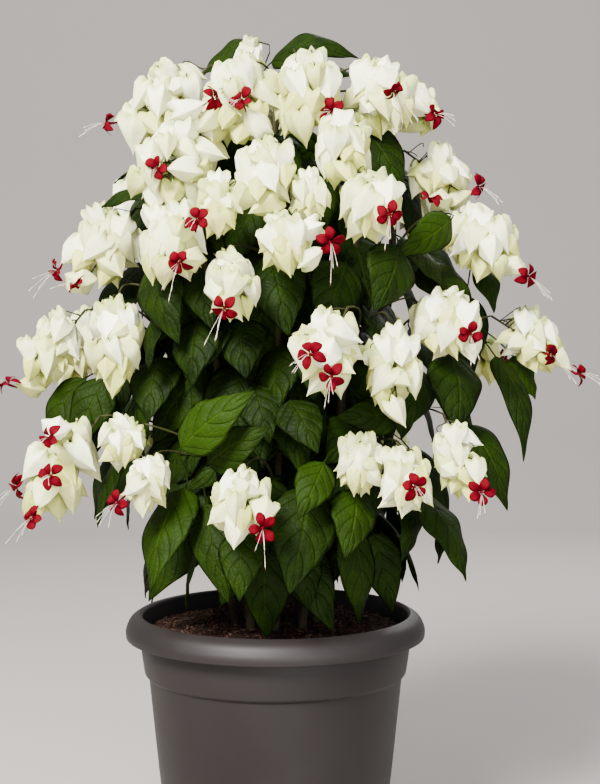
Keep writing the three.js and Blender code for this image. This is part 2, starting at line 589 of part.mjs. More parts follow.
// A leaf in one sweep: a point sunk in the wood, a slim petiole up to the blade's base, then the blade out
// to its tip. A ring has a point on the midrib and one on either edge, and a folded leaf's has one below.
function leafSolid({ base, chord, along, normal, side, arch }, leaf, joint, extra = 0) {
  const { stations, sides } = leaf.shape;
  const bands = stations.length + 3;
  const petiole = base.clone().sub(joint).normalize();
  const turn = new THREE.Quaternion().setFromUnitVectors(along, petiole);
  const halfTurn = new THREE.Quaternion().slerp(turn, 0.5);
  const place = (p) => {
    const band = Math.round((Math.acos(THREE.MathUtils.clamp(p.y, -1, 1)) / Math.PI) * bands);
    if (band === 0) return joint.clone().addScaledVector(petiole, -PETIOLE_RADIUS);
    if (band === bands) return base.clone().add(chord);
    const angle = Math.atan2(p.z, -p.x);
    const [across, through] = [Math.sin(angle), Math.cos(angle)];
    if (band <= 2) {
      const radius = PETIOLE_RADIUS + extra;
      const offset = side.clone().multiplyScalar(across * radius).addScaledVector(normal, through * radius);
      if (band === 2) return offset.applyQuaternion(halfTurn).add(base);
      return offset.applyQuaternion(turn).add(joint).addScaledVector(petiole, 2 * BRANCH_RADIUS);
    }
    const s = stations[band - 3];
    const half = 0.5 * leaf.width * bladeOutline(s);
    const edge = Math.abs(across) > 0.1 ? Math.sign(across) : 0;
    const fold = sides === 4 ? FOLD * half * Math.abs(edge) : 0;
    return base
      .clone()
      .addScaledVector(chord, s)
      .addScaledVector(side, edge * (half + extra))
      .addScaledVector(normal, arch * Math.sin(Math.PI * s) + through * (LEAF_THICKNESS / 2 + extra) - fold);
  };
  return solidOf(reshaped(new THREE.SphereGeometry(1, sides, bands), place));
}

// Every leaf of the shell that is drawn by rule.
function rowLeaves() {
  const random = randomSource(ROW_SEED);
  const between = (low, high) => low + (high - low) * random();
  const leaves = [];
  for (const row of LEAF_ROWS) {
    for (let i = 0; i < row.leaves; i++) {
      const share = (i + between(0.3, 0.7)) / row.leaves;
      const turn = THREE.MathUtils.degToRad(row.from + (row.to - row.from) * share);
      const radius = row.radius + between(-8, 8);
      const height = row.height + between(-16, 16);
      const length = ROW_LEAF_LENGTH * between(0.82, 1.15);
      const spread = between(-0.5, 0.5);
      const lean = between(0.28, 0.5);
      const width = ROW_LEAF_WIDTH * between(0.85, 1.12);
      const out = [Math.sin(turn), -Math.cos(turn)];
      const sideways = [-out[1], out[0]];
      const fall = Math.sqrt(1 - lean * lean);
      const swing = ROW_LEAF_SWING * fall * spread;
      leaves.push({
        base: [radius * out[0], radius * out[1], height],
        tip: [
          radius * out[0] + length * (lean * out[0] + swing * sideways[0]),
          radius * out[1] + length * (lean * out[1] + swing * sideways[1]),
          height - length * Math.sqrt(fall * fall - swing * swing),
        ],
        width,
        roll: ROW_LEAF_ROLL * Math.sin(turn),
      });
    }
  }
  return leaves;
}

// ---------------------------------------------------------------- assembly

const nodes = new Map();
const wood = []; // points of the canes and branches, where petioles may join
const curves = Object.fromEntries(Object.entries(CANES).map(([name, cane]) => [name, caneCurve(cane)]));

function startNode(name, solid) {
  nodes.set(name, []);
  keep(name, solid);
}

function addJoints(node, curve, steps, { first, last, of }) {
  for (let i = first; i <= last; i++) wood.push({ node, point: pointOnTube(curve, steps, i / of) });
}

function growCane(name, curve) {
  const node = `leafy_cane_${name}`;
  startNode(node, tube(curve, [CANE_RADIUS, CANE_TIP_RADIUS], CANE_SIDES, CANE_STEPS));
  addJoints(node, curve, CANE_STEPS, CANE_JOINTS);
}

function growBranch(panicle) {
  const node = `leafy_cane_${panicle.cane}`;
  const curve = branchCurve(canePointAt(curves[panicle.cane], panicle.fork), panicle);
  keep(node, tube(curve, [BRANCH_FOOT_RADIUS, BRANCH_RADIUS], BRANCH_SIDES, BRANCH_STEPS));
  addJoints(node, curve, BRANCH_STEPS, BRANCH_JOINTS);
}

function growPanicle(panicle, random) {
  const { shape, lengths, solid } = fittedPanicle(panicle, random);
  startNode(panicle.node, solid);
  for (const place of panicle.open.map(vec)) {
    const flower = flowerSolid(flowerFoot(shape, lengths, place), place);
    if (isClear(flower, panicle.node)) keep(panicle.node, flower);
  }
}

// A leaf grows from the nearest wood. Its blade keeps clear of the wood and the other blades, and all of it
// keeps clear of the other nodes. A leaf that no bend brings clear is left out.
function growLeaf(leaf, blades, woodSolids) {
  for (const bend of BENDS) {
    const frame = leafFrame(leaf, bend);
    const distance = (place) => place.point.distanceTo(frame.base);
    const { node, point } = wood.reduce((best, place) => (distance(place) < distance(best) ? place : best));
    const foot = frame.base.clone().addScaledVector(frame.along, -BLADE_SETBACK);
    const blade = leafSolid(frame, leaf, foot, GAP);
    const bladeIsClear = [...blades, ...woodSolids].every((other) => misses(blade, other));
    if (bladeIsClear && isClear(leafSolid(frame, leaf, point, GAP), node)) {
      blades.push({ solid: blade, box: blade.boundingBox() });
      keep(node, leafSolid(frame, leaf, point));
      return;
    }
  }
}

// The biggest body of a node's fused pieces: sealed pockets and loose scraps are left out.
function fusedSolid(pieces) {
  const fused = pieces.reduce((whole, piece) => whole.add(piece)).simplify(SMALLEST_STEP);
  return fused.decompose().reduce((best, body) => (body.volume() > best.volume() ? body : best));
}

function meshOf(name, solid) {
  const { vertProperties, triVerts } = solid.getMesh();
  const geometry = new THREE.BufferGeometry();
  geometry.setAttribute("position", new THREE.BufferAttribute(vertProperties, 3));
  geometry.setIndex(new THREE.BufferAttribute(triVerts, 1));
  geometry.computeVertexNormals();
  const look = Object.keys(COLOURS).find((part) => name.startsWith(part));
  const mesh = new THREE.Mesh(geometry, new THREE.MeshStandardMaterial(COLOURS[look]));
  mesh.name = name;
  return mesh;
}

startNode("pot", potSolid());
startNode("potting_mix", soilSolid(curves));
for (const [name, curve] of Object.entries(curves)) growCane(name, curve);
for (const panicle of PANICLES) growBranch(panicle);
const woodSolids = placed.filter(({ node }) => node.startsWith("leafy_cane"));

const random = randomSource(PANICLE_SEED);
PANICLES.forEach((panicle, i) => {
  const node = `panicle_${String(i + 1).padStart(2, "0")}`;
  growPanicle({ ...panicle, node, turn: PANICLE_TURN * i }, random);
});

const blades = [];
for (const leaf of SHOWN_LEAVES) growLeaf({ ...leaf, shape: FOLDED }, blades, woodSolids);
for (const leaf of rowLeaves()) growLeaf({ ...leaf, shape: FLAT }, blades, woodSolids);

const group = new THREE.Group();
for (const [name, pieces] of nodes) group.add(meshOf(name, fusedSolid(pieces)));

export default group;
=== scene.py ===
"""A bleeding heart vine in its pot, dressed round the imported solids.

Sizes are in millimetres up to the point where a piece is made, and Blender's metres from there on. The
origin is the centre of the pot's underside, +Z is up and -Y is the plant's best side.
"""

import bpy
import numpy as np
from mathutils import Matrix, Vector, kdtree


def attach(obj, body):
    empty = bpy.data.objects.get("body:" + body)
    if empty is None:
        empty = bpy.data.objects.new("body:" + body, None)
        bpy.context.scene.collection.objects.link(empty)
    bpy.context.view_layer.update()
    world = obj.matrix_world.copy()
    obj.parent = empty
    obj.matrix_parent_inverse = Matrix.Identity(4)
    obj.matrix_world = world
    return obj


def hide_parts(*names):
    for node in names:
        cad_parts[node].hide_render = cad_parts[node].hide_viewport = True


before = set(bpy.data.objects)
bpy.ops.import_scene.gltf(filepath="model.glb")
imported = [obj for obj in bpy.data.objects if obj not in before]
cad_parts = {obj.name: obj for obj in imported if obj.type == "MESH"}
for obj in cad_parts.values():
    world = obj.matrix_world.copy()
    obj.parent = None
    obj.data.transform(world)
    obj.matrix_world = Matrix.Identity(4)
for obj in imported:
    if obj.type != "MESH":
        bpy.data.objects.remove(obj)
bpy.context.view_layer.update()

MM = 0.001
UP = np.array((0.0, 0.0, 1.0))

# ---------------------------------------------------------------- driving dimensions

POT_SIDES = 144
POT_FLOOR = 4
# The pot from its underside's centre over the rolled rim, as (radius, height, rounding of that corner).
POT_PROFILE = [
    (102, 0, 0), (105, 3, 3), (115.6, 78, 40), (126.9, 188, 0.7), (131, 191, 1.6), (134.8, 216, 8),
    (134.8, 234, 2), (144.8, 234, 3), (145.8, 227.5, 1), (149.4, 227, 1.2), (150, 234, 3), (146, 244.5, 9),
    (135.5, 250.5, 2.2), (132.8, 247.5, 1.6), (130, 216, 8), (125.2, 186, 6), (100, POT_FLOOR, 4),
]
ROUNDING_STEPS = 6
ROUNDING_SHARE = 0.45  # the most of a side that the rounding at one of its ends takes
DRAIN_HOLES = 4
DRAIN_RADIUS = 6
DRAIN_CIRCLE = 62
DRAIN_SIDES = 32
DRAIN_POINTS = 5
DRAIN_CUT = 8  # how far the holes are cut above and below the pot's underside

SOIL_SIDES = 96
SOIL_PROFILE = [(98.6, 4.4), (124.2, 186.5), (129.0, 222.0), (127.5, 231.0)]
SOIL_RADIUS = SOIL_PROFILE[-1][0]
SOIL_RINGS = np.linspace(0.98, 0.02, 30)  # the surface's rings as shares of its radius
SOIL_EDGE_HEIGHT = 233
SOIL_CROWN = 4.5
SOIL_LUMPS = 2.2
# The waves that make the lumps: radians to a millimetre along x and along y, and the phase.
SOIL_WAVES = (
    (0.11, 0.05, 1.3), (-0.07, 0.13, 0.4), (0.19, -0.16, 2.1), (0.27, 0.22, 5.0), (-0.36, 0.31, 3.3),
)
SOIL_TONE = 0.1
BARK_CHIPS = 3600
CHIP_SEED = 71
CHIP_COVER = 0.94  # the share of the surface that they lie on
CHIP_RISE = (-0.6, 1.8)
CHIP_TILT = 0.38
CHIP_LENGTH = (2.5, 7)
CHIP_BREADTH = (0.22, 0.5)  # as a share of the length
CHIP_THICKNESS = (0.35, 0.8)  # as a share of the breadth
CHIP_BULK = (0.65, 1.1)  # how far a chip's corners stray from its spindle
CHIP_SIDES = 5
CHIP_STATIONS = np.array((-0.36, 0.02, 0.38))
CHIP_TONE_POWER = 2.2  # leaves most chips dark and a few light

# Canes: degrees round from the front towards +X, then radii from the pot's middle, then the top's height.
CANES = {
    "crown": (0, 0, -14, 6, 752),
    "front": (358, 33, 84, 96, 650),
    "front_right": (42, 34, 112, 112, 662),
    "right": (88, 36, 124, 118, 640),
    "back_right": (138, 34, 112, 104, 650),
    "back": (182, 35, 108, 98, 655),
    "back_left": (226, 34, 112, 104, 648),
    "left": (270, 36, 122, 118, 640),
    "front_left": (318, 34, 112, 108, 665),
}
CANE_FOOT = 180
CANE_UPRIGHT = 0.3
CANE_ELBOW = 0.62
CANE_TWIST = 9
CANE_STRAIGHTS = 6  # straight pieces in a cane's solid, and in a branch's below
CANE_RADIUS = (4.8, 2.3)
CANE_POINTS = 28
CANE_SIDES = 10
CANE_KNOTS = 9
KNOT_SWELL = 0.13
KNOT_POWER = 6  # the higher, the shorter a knot is
CANE_JOINTS = np.arange(7, 24) / 24
BRANCH_CLIMB = 0.35
BRANCH_NOD = 0.4
BRANCH_RISE = 0.75
BRANCH_GAP = 0.4
BRANCH_STRAIGHTS = 3
BRANCH_RADIUS = (1.8, 0.9)
BRANCH_POINTS = 14
BRANCH_SIDES = 7
BRANCH_JOINTS = np.arange(3, 11) / 12
OLD_WOOD = 0.5  # tones of the bark
YOUNG_WOOD = 1.0

# Panicles: the cane that bears one, the height at which its branch forks off, the start and the end of its
# spine, how far its calyces reach from the spine, and the middles of its open flowers.
PANICLES = [
    ("crown", 715, (-63, -30, 788), (-121, -60, 728), 40, [(-160, -52, 729)]),
    ("front_left", 650, (-56, -86, 730), (-103, -128, 660), 43, [(-104, -158, 673)]),
    ("crown", 700, (-17, -74, 783), (-46, -118, 716), 40, [(-55, -138, 738), (-30, -142, 736)]),
    ("crown", 690, (30, -70, 794), (26, -116, 731), 41, [(50, -128, 728)]),
    ("crown", 720, (74, -44, 784), (106, -80, 738), 36, [(108, -114, 749)]),
    ("crown", 735, (108, 0, 776), (146, -25, 742), 27, [(152, -60, 736)]),
    ("front_right", 650, (54, -110, 726), (62, -146, 682), 33, []),
    ("right", 620, (126, -20, 708), (174, -34, 670), 32, [(148, -68, 655), (196, -46, 670)]),
    ("front", 630, (-10, -130, 702), (-12, -158, 652), 35, []),
    ("front_right", 615, (64, -138, 668), (86, -164, 634), 36, [(98, -196, 629)]),
    ("front_left", 600, (-86, -116, 642), (-95, -152, 596), 37, [(-68, -186, 625), (-82, -190, 589)]),
    ("front", 585, (-42, -146, 604), (-37, -170, 558), 29, [(-44, -196, 549)]),
    ("front", 570, (12, -154, 633), (10, -182, 599), 31, [(47, -196, 606)]),
    ("left", 590, (-136, -30, 650), (-172, -56, 592), 38, [(-185, -92, 572), (-207, -64, 588)]),
    ("front_left", 500, (-147, -74, 568), (-149, -96, 494), 32, []),
    ("left", 480, (-188, -8, 552), (-236, -24, 490), 31, [(-260, -38, 480)]),
    ("right", 560, (160, -46, 646), (216, -64, 601), 35, [(238, -82, 582)]),
    ("front_right", 465, (64, -158, 551), (40, -190, 494), 35, [(29, -224, 510), (47, -226, 491)]),
    ("front_right", 475, (103, -128, 542), (108, -150, 473), 33, []),
    ("right", 485, (126, -96, 562), (168, -116, 524), 33, [(175, -146, 527)]),
    ("right", 470, (214, -12, 546), (270, -26, 508), 30, [(265, -52, 508), (296, -34, 489)]),
    ("left", 380, (-166, -74, 450), (-214, -104, 378), 36,
     [(-203, -138, 435), (-202, -140, 400), (-238, -110, 387), (-219, -138, 362)]),
    ("front_left", 365, (-122, -100, 444), (-148, -122, 421), 25, []),
    ("front_left", 345, (-110, -124, 418), (-117, -146, 382), 25, [(-140, -164, 378)]),
    ("front", 345, (-26, -178, 412), (-32, -202, 368), 31, [(-11, -230, 364)]),
    ("front_right", 355, (84, -150, 436), (72, -170, 404), 27, []),
    ("right", 380, (154, -120, 454), (171, -147, 395), 28, [(181, -176, 388)]),
    ("crown", 735, (-22, -8, 776), (-26, -14, 803), 18, []),
    ("crown", 725, (-58, 36, 774), (-106, 84, 724), 34, [(-128, 96, 742)]),
    ("crown", 705, (8, 62, 774), (4, 114, 718), 34, []),
    ("crown", 680, (66, 44, 768), (116, 80, 722), 32, [(118, 118, 716)]),
    ("left", 625, (-126, 46, 694), (-170, 80, 628), 33, [(-194, 100, 640)]),
    ("back", 640, (-46, 120, 690), (-62, 166, 628), 33, []),
    ("back_right", 635, (46, 124, 690), (54, 170, 622), 32, [(62, 198, 630)]),
    ("right", 600, (130, 62, 686), (172, 98, 628), 32, []),
    ("left", 455, (-176, 66, 560), (-218, 98, 492), 31, []),
    ("back_left", 490, (-88, 154, 588), (-106, 194, 520), 32, [(-112, 222, 530)]),
    ("back", 495, (8, 170, 585), (12, 210, 512), 32, [(22, 238, 520)]),
    ("back_right", 490, (100, 152, 585), (126, 190, 516), 31, []),
    ("right", 445, (186, 72, 560), (226, 104, 496), 30, [(248, 120, 504)]),
    ("back_left", 350, (-130, 132, 430), (-156, 168, 372), 30, [(-168, 194, 380)]),
    ("back", 350, (-20, 186, 424), (-28, 216, 366), 30, []),
    ("back_right", 350, (110, 152, 430), (136, 184, 372), 30, [(148, 210, 380)]),
    ("front_right", 375, (112, -156, 428), (113, -182, 386), 30, [(118, -216, 397)]),
    ("front_left", 615, (-46, -134, 668), (-50, -162, 632), 27, []),
    ("front", 600, (27, -132, 668), (29, -160, 640), 25, []),
]
PANICLE_SEED = 900
PANICLE_TURN = 0.9  # radians that each panicle is turned about its spine past the one before
SPINE_OVERHANG = 0.8
SPINE_HANDLES = (0, 0.5, 1.0, 1.55)  # in half lengths of the panicle
SPINE_RADIUS = (1.3, 0.7)
SPINE_POINTS = 8
SPINE_SIDES = 6
TIP_DROOP = 0.08
SOLID_TIPS = (0.4, 1.1)  # the shares of a ray between which the solid's tip on it can lie
PLAIN_TIP = 0.95  # the share where the solid has no tip there
CALYX_WIDTH = 28.5
CALYX_LENGTH = 31.5
FULL_REACH = 34  # a panicle that reaches this far has calyces of that size
CALYX_SIZES = (0.6, 1.08)  # the smallest and the largest that others have, as a share
OUTER_SCALE = (0.9, 1.06)
BETWEEN_SCALE = (0.72, 0.98)
WIDTH_STRAY = (0.92, 1.08)
HANG_OUT = 0.58  # a calyx's direction is so much out, so much down and so much by chance
HANG_DOWN = 0.84
HANG_LIFT = 0.2  # what the highest ones hang down less than the middle ones
HANG_STRAY = 0.34
# Calyx tones: the outermost lighter, those between them darker, and each lighter the more it faces up. This
# is painted light and shade; the stray is by chance.
LIT_OUTER_TONE = 0.6
SHADED_BETWEEN_TONE = 0.22
LIT_FROM_ABOVE_RISE = 0.4
TONE_STRAY = (-0.35, 0.25)
# A calyx from neck to tip: place along its length on a rib, on the middle of a panel, and its rib's radius.
CALYX_PROFILE = [
    (-0.1, 0.03, 0.36), (-0.14, 0.06, 0.72), (-0.04, 0.14, 0.97), (0.18, 0.28, 1.02), (0.42, 0.46, 0.84),
    (0.64, 0.65, 0.54), (0.82, 0.82, 0.22), (0.92, 0.92, 0.08),
]
CALYX_RIBS = 5
CALYX_COLUMNS = 2  # points from one rib to the next
CALYX_HOLLOW = 0.2  # how far the panels between the ribs sink in
# Slow waves that crumple a calyx: height as a share of the radius, radians along it, and waves round it.
CALYX_CRUMPLES = ((0.07, 6, 2), (0.05, 11, -3))
CALYX_TWIST = 0.5
CALYX_BEND = 0.12
CALYX_SQUASH = (0.8, 1.0)
BETWEEN_SHARE = (0.82, 1.0)  # how far out the calyces between the outermost ones sit
BETWEEN_KEPT = 0.72  # how many of them there are, so that the panicle's heart shows in places
FLOWER_ROOM = 13  # how far a calyx between the others keeps from an open flower
CALYX_HEART = 0.6  # the place along a calyx from which that is measured
FLOWER_FOOT = 0.86
FLOWERING_GAP = 6  # how far a flowering calyx's tip stays behind its corolla
FLOWERING_HANG = 0.4  # how much of its own direction a flowering calyx keeps
PEDICEL_RADIUS = 0.55
PEDICEL_SIDES = 5
PEDICEL_POINTS = 6
PEDICEL_LEAD = 0.15  # how far before its calyx it leaves the spine, as a share of the spine
PEDICEL_PULL = 0.3
PEDICEL_NOD = 1.4
PEDICEL_SINK = 1.5  # how far it goes into the neck
# A corolla faces out of the mound, by 1, and along its tube, by so much. Both directions are brought nearer
# to level, and the way out is the direction of its place once that is moved to the front.
COROLLA_TURN = np.array((0.0, -120.0, 0.0))
COROLLA_ALONG = 0.45
ALONG_LEVELLED = (1, 1, 0.5)
OUT_LEVELLED = (1, 1, 0.15)
COROLLA_STRAY = 0.22
COROLLA_LOBES = 5
LOBE_LENGTH = 11.8
COROLLA_SIZES = (0.86, 1.1)  # as shares of that length: so much by corolla, and so much more by lobe
LOBE_SIZES = (0.84, 1.08)
LOBE_WIDTH = 9.4
LOBE_STATIONS = np.array((0.04, 0.16, 0.34, 0.54, 0.74, 0.9, 0.97))
LOBE_COLUMNS = 4
LOBE_THICKNESS = 0.35
LOBE_CUP = 0.2  # how far a lobe's edges stand forward, as a share of its half width
LOBE_STRAY = 0.24
LOBE_ROLL = 0.5
LOBE_LEAN = (-0.8, 0.7)
LOBE_BOW = 2.2  # how far its path bows forward, sweeps as it leans, and curls back at the end
LOBE_SWEEP = 8
LOBE_CURL = 2.4
THROAT_RADIUS = 1.2
TUBE_RADIUS = (0.8, 1.5)
TUBE_SIDES = 8
TUBE_POINTS = 6
TUBE_FOOT = 6  # how far inside the tip of its calyx a tube starts
TUBE_HANDLES = (5, 4)  # how far it goes on along its calyx and comes in along its corolla
STAMENS = 4
STAMEN_LENGTH = 29
STAMEN_SIZES = (0.82, 1.08)
STAMEN_RADIUS = 0.13
STAMEN_SIDES = 5
STAMEN_SPREAD = 0.2  # how far its end strays and sags, as shares of its length
STAMEN_SAG = 0.6
# A stamen from its throat to its anther: place along its length and share of its radius.
STAMEN_PROFILE = np.array([
    (0.0, 1.2), (0.2, 1), (0.4, 1), (0.6, 1), (0.8, 0.9), (0.9, 1.9), (0.95, 2.1), (1.0, 0.8),
])

# Leaves that show on the front and the top: base, tip, greatest width, how bright it is from 0 for the
# oldest to 1 for the youngest, and where it isn't plain its roll in degrees and the height of its arch.
SHOWN_LEAVES = [
    ((-4, -5, 796), (82, -25, 796), 40, 0.3, 52, 22),
    ((-14, 16, 820), (-76, 12, 790), 38, 0.5, -52, 12),
    ((30, 24, 790), (90, 20, 780), 30, 0.3, 50, 10),
    ((-10, -84, 716), (14, -112, 668), 42, 0.25),
    ((88, -58, 728), (118, -84, 664), 50, 0.35, 40, None),
    ((-112, -52, 668), (-172, -40, 646), 34, 0.3),
    ((-118, -20, 694), (-158, -22, 674), 28, 0.3),
    ((-115, -118, 593), (-74, -150, 528), 50, 0.3),
    ((-69, -122, 586), (-56, -148, 530), 42, 0.3),
    ((-5, -110, 600), (12, -142, 524), 60, 0.3),
    ((64, -112, 593), (38, -140, 530), 54, 0.3),
    ((164, -92, 634), (108, -128, 597), 36, 0.9),
    ((108, -128, 604), (84, -150, 546), 54, 0.4),
    ((118, -84, 618), (158, -98, 566), 52, 0.35),
    ((138, -70, 593), (188, -92, 541), 48, 0.25, 35, None),
    ((203, -8, 598), (216, -18, 548), 34, 0.6, 50, None),
    ((166, -86, 508), (167, -112, 436), 60, 0.3, 30, None),
    ((138, -92, 500), (136, -122, 436), 48, 0.35, 20, None),
    ((214, -40, 506), (238, -62, 404), 34, 0.3, 45, 18),
    ((238, 2, 506), (260, -4, 462), 34, 0.85, 50, None),
    ((184, -68, 441), (219, -86, 360), 48, 0.4, 40, None),
    ((136, -112, 380), (173, -138, 302), 56, 0.4),
    ((128, -92, 376), (116, -112, 316), 34, 0.35),
    ((150, -100, 362), (150, -112, 314), 24, 0.3),
    ((112, -116, 452), (62, -140, 426), 38, 0.45),
    ((46, -170, 418), (22, -196, 370), 38, 0.65),
    ((78, -156, 392), (66, -186, 334), 46, 0.6),
    ((31, -138, 388), (12, -174, 297), 64, 0.35),
    ((68, -104, 350), (78, -84, 252), 50, 0.5),
    ((93, -78, 338), (112, -72, 262), 40, 0.3, 40, None),
    ((-84, -104, 384), (-112, -150, 296), 58, 0.6),
    ((-64, -116, 371), (-42, -146, 284), 44, 0.4),
    ((-28, -146, 352), (-32, -168, 290), 44, 0.45),
    ((-10, -112, 338), (-8, -104, 243), 54, 0.35),
    ((22, -112, 330), (30, -118, 272), 36, 0.3),
    ((-83, -172, 427), (-17, -192, 478), 46, 0.85),
    ((-60, -160, 412), (-4, -184, 446), 42, 0.45),
    ((13, -128, 467), (38, -156, 420), 46, 0.2),
    ((-19, -118, 481), (8, -142, 432), 44, 0.2),
    ((-193, -26, 488), (-230, -36, 424), 48, 0.4, -50, None),
    ((-164, -48, 484), (-190, -62, 414), 46, 0.4, -45, None),
    ((-128, -66, 474), (-122, -90, 410), 44, 0.35),
    ((-143, -72, 416), (-166, -94, 346), 42, 0.35),
    ((-103, -86, 559), (-116, -114, 494), 48, 0.2),
    ((-70, -108, 540), (-74, -136, 480), 54, 0.2),
    ((-33, -112, 540), (-26, -140, 486), 50, 0.15),
    ((-110, -60, 506), (-128, -84, 440), 54, 0.25, -35, None),
    ((38, -112, 531), (34, -134, 466), 52, 0.15),
    ((82, -112, 448), (72, -142, 400), 48, 0.3),
    ((112, -92, 485), (110, -120, 428), 48, 0.25),
    ((-27, -138, 432), (-18, -160, 378), 48, 0.2),
]
# Rows of leaves round the mound: height and radius of their bases, ends in degrees round, and how many.
LEAF_ROWS = [
    (345, 104, 96, 264, 7), (410, 136, 84, 278, 9), (478, 156, 80, 282, 9), (546, 150, 76, 284, 9),
    (615, 134, 78, 280, 8), (690, 104, 84, 276, 6), (755, 56, 70, 310, 4), (600, 92, -62, 58, 3),
    (510, 96, -66, 66, 4), (430, 90, -70, 70, 3), (350, 78, -80, 80, 3),
]
ROW_SEED = 20417
ROW_PLACES = (0.3, 0.7)  # where a leaf stands in its own share of the row
ROW_RADIUS_STRAY = (-8, 8)
ROW_HEIGHT_STRAY = (-16, 16)
ROW_LEAF_LENGTH = 98
ROW_LENGTHS = (0.82, 1.15)  # the shortest and the longest, as shares of that length
ROW_LEAF_WIDTH = 60
ROW_WIDTHS = (0.85, 1.12)
ROW_SPREAD = (-0.5, 0.5)  # how far it hangs to the side
ROW_LEAN = (0.28, 0.5)  # how far it hangs out
ROW_LEAF_ROLL = 42
ROW_LEAF_SWING = 0.8
ROW_TONES = (0.15, 0.45)
MIDRIB_ARCH = 0.11
FACING_RADIUS = 130
FACING_UP = 0.45
# A leaf that would cross a neighbour was bent clear: moved out, rolled about its midrib or swung sideways.
BEND_DISTANCE = 7
BEND_DEGREES = 13
BEND_TURNS = np.array(((0, 0), (1, 0), (-1, 0), (0, 1), (0, -1), (1, 1), (-1, -1)))
BENDS = [
    (out, roll, swing)
    for effort in range(4)
    for out in (0, BEND_DISTANCE * effort, -BEND_DISTANCE * effort)
    for roll, swing in BEND_DEGREES * effort * BEND_TURNS
]
SAME_PLACE = 0.05  # millimetres within which a worked-out point is the solid's own
BLADE_STATIONS = {"folded": 0.42, "flat": 0.28}  # where a solid's blade has edge points to know it by
FLAT_EDGE_DROP = 0.55  # a flat blade's edge points lie this far below its middle
BLADE_ROWS = 30
BLADE_COLUMNS = 12
BLADE_THICKNESS = 0.9
PETIOLE_ROWS = 5
PETIOLE_RADIUS = 0.85
PETIOLE_PULL = 0.4  # of its Bezier's handles, as a share of its reach
PETIOLE_CLIMB = 0.35
PETIOLE_ALONG = -0.2  # its place along the leaf's UV map, before the blade's 0
BLADE_BREADTH = 6.0  # the half width from which a blade has its full relief
FOLD = 0.22
ROW_FOLD = 0.11  # of the leaves whose solid is flat
FOLD_SOFTNESS = 0.02
FOLD_DEPTH = 0.14  # what the softness lifts the midrib by, taken off again
LATERAL_VEINS = 4.8
VEIN_SLANT = 0.34
VEIN_CURVE = 1.2
PILLOW_HEIGHT = 1.2
EDGE_WAVE = 1.5
EDGE_WAVES = (1.6, 2.6)  # how many there are along a blade
EDGE_SHIFT = 1.5  # radians by which they run ahead on one edge and behind on the other
INNER_LEAVES = 220
INNER_SEED = 733
INNER_ROWS = 12
INNER_COLUMNS = 6
INNER_HEIGHT = (330, 700)
INNER_RADIUS = (34, 116)
INNER_TAPER = 0.4  # how much nearer to the middle they stay at the top of the mound
INNER_TAPER_HEIGHT = (560, 720)
INNER_LENGTH = (66, 96)
INNER_WIDTH = (44, 62)
INNER_LEAN = (0.1, 0.6)
INNER_SPREAD = (-0.6, 0.6)
INNER_ROLL = 40
INNER_TONE = (0.12, 0.42)
INNER_GLOW = 0.6  # added to the tone in the very middle of the mound, to make up for the shade
INNER_GLOW_RADIUS = 120  # where nothing is added any more

CAMERA_PLACE = (0, -1400, 520)
CAMERA_AIM = (24.5, 0, 470)
CAMERA_LENS = 64.3
# The lamps: place, diameter in metres, power in watts and colour.
LAMPS = {
    "key": ((-1100, -2100, 2300), 1.1, 480.0, (1.0, 0.98, 0.95)),
    "fill": ((700, -2500, 750), 2.2, 85.0, (1.0, 0.98, 0.96)),
    "back": ((700, 1900, 1900), 1.6, 45.0, (1.0, 1.0, 1.0)),
}
LAMP_AIM = (0, 0, 450)
STUDIO_COLOUR = (0.82, 0.86, 0.9, 1.0)
STUDIO_STRENGTH = 0.9
# The backdrop, in metres: a floor, a rounding of this radius behind it, and a wall.
FLOOR_HALF_WIDTH = 6.0
FLOOR_COLUMNS = 9
FLOOR_DEPTH = (-4.0, 2.4)
FLOOR_ROWS = 12
BACKDROP_ROUNDING = 1.2
BACKDROP_BOW = np.linspace(0.1, 1.5, 10)  # the angles of the rounding's points
WALL_TOP = 5.0

# ---------------------------------------------------------------- small tools


def draws_between(seed):
    """Draws between two limits that are the same on every run (the mulberry32 generator)."""
    whole = 0xFFFFFFFF
    state = seed

    def between(low, high):
        nonlocal state
        state = (state + 0x6D2B79F5) & whole
        t = ((state ^ (state >> 15)) * (state | 1)) & whole
        t ^= (t + (((t ^ (t >> 7)) * (t | 61)) & whole)) & whole
        return low + (high - low) * ((t ^ (t >> 14)) / 2**32)

    return between


def unit(v):
    return v / np.linalg.norm(v, axis=-1, keepdims=True)


def ease(low, high, x):
    """0 below low, 1 above high, and a smooth step between."""
    t = np.clip((x - low) / (high - low), 0, 1)
    return t * t * (3 - 2 * t)


def turned(v, axis, angle):
    """A vector turned about a unit axis by an angle in radians (Rodrigues' formula)."""
    across = np.cross(axis, v)
    return v * np.cos(angle) + across * np.sin(angle) + axis * np.dot(axis, v) * (1 - np.cos(angle))


def compass(turn):
    """The level directions outwards and sideways at an angle round from the front towards +X."""
    return np.array((np.sin(turn), -np.cos(turn), 0.0)), np.array((np.cos(turn), np.sin(turn), 0.0))


def ring_angles(sides):
    """Equally spaced angles round a ring."""
    return 2 * np.pi * np.arange(sides) / sides


def wrapped(angle):
    """A ring's across value for the UV map: it goes from 1 to 0 and back, so the ring has no seam."""
    return 0.5 + 0.5 * np.cos(angle)


def bezier(a, b, c, d, t):
    """Points of cubic Bezier curves at the shares t. The four handles may be stacks of points."""
    t = np.asarray(t)[:, None]
    a, b, c, d = (np.asarray(p, float)[..., None, :] for p in (a, b, c, d))
    return (1 - t) ** 3 * a + 3 * (1 - t) ** 2 * t * b + 3 * (1 - t) * t**2 * c + t**3 * d


def square_to(axes):
    """Two stacks of directions square to a stack of unit axes and to each other."""
    guide = np.where(np.abs(axes[..., 2:]) < 0.9, UP, np.array((1.0, 0.0, 0.0)))
    side = unit(np.cross(axes, guide))
    return side, np.cross(axes, side)


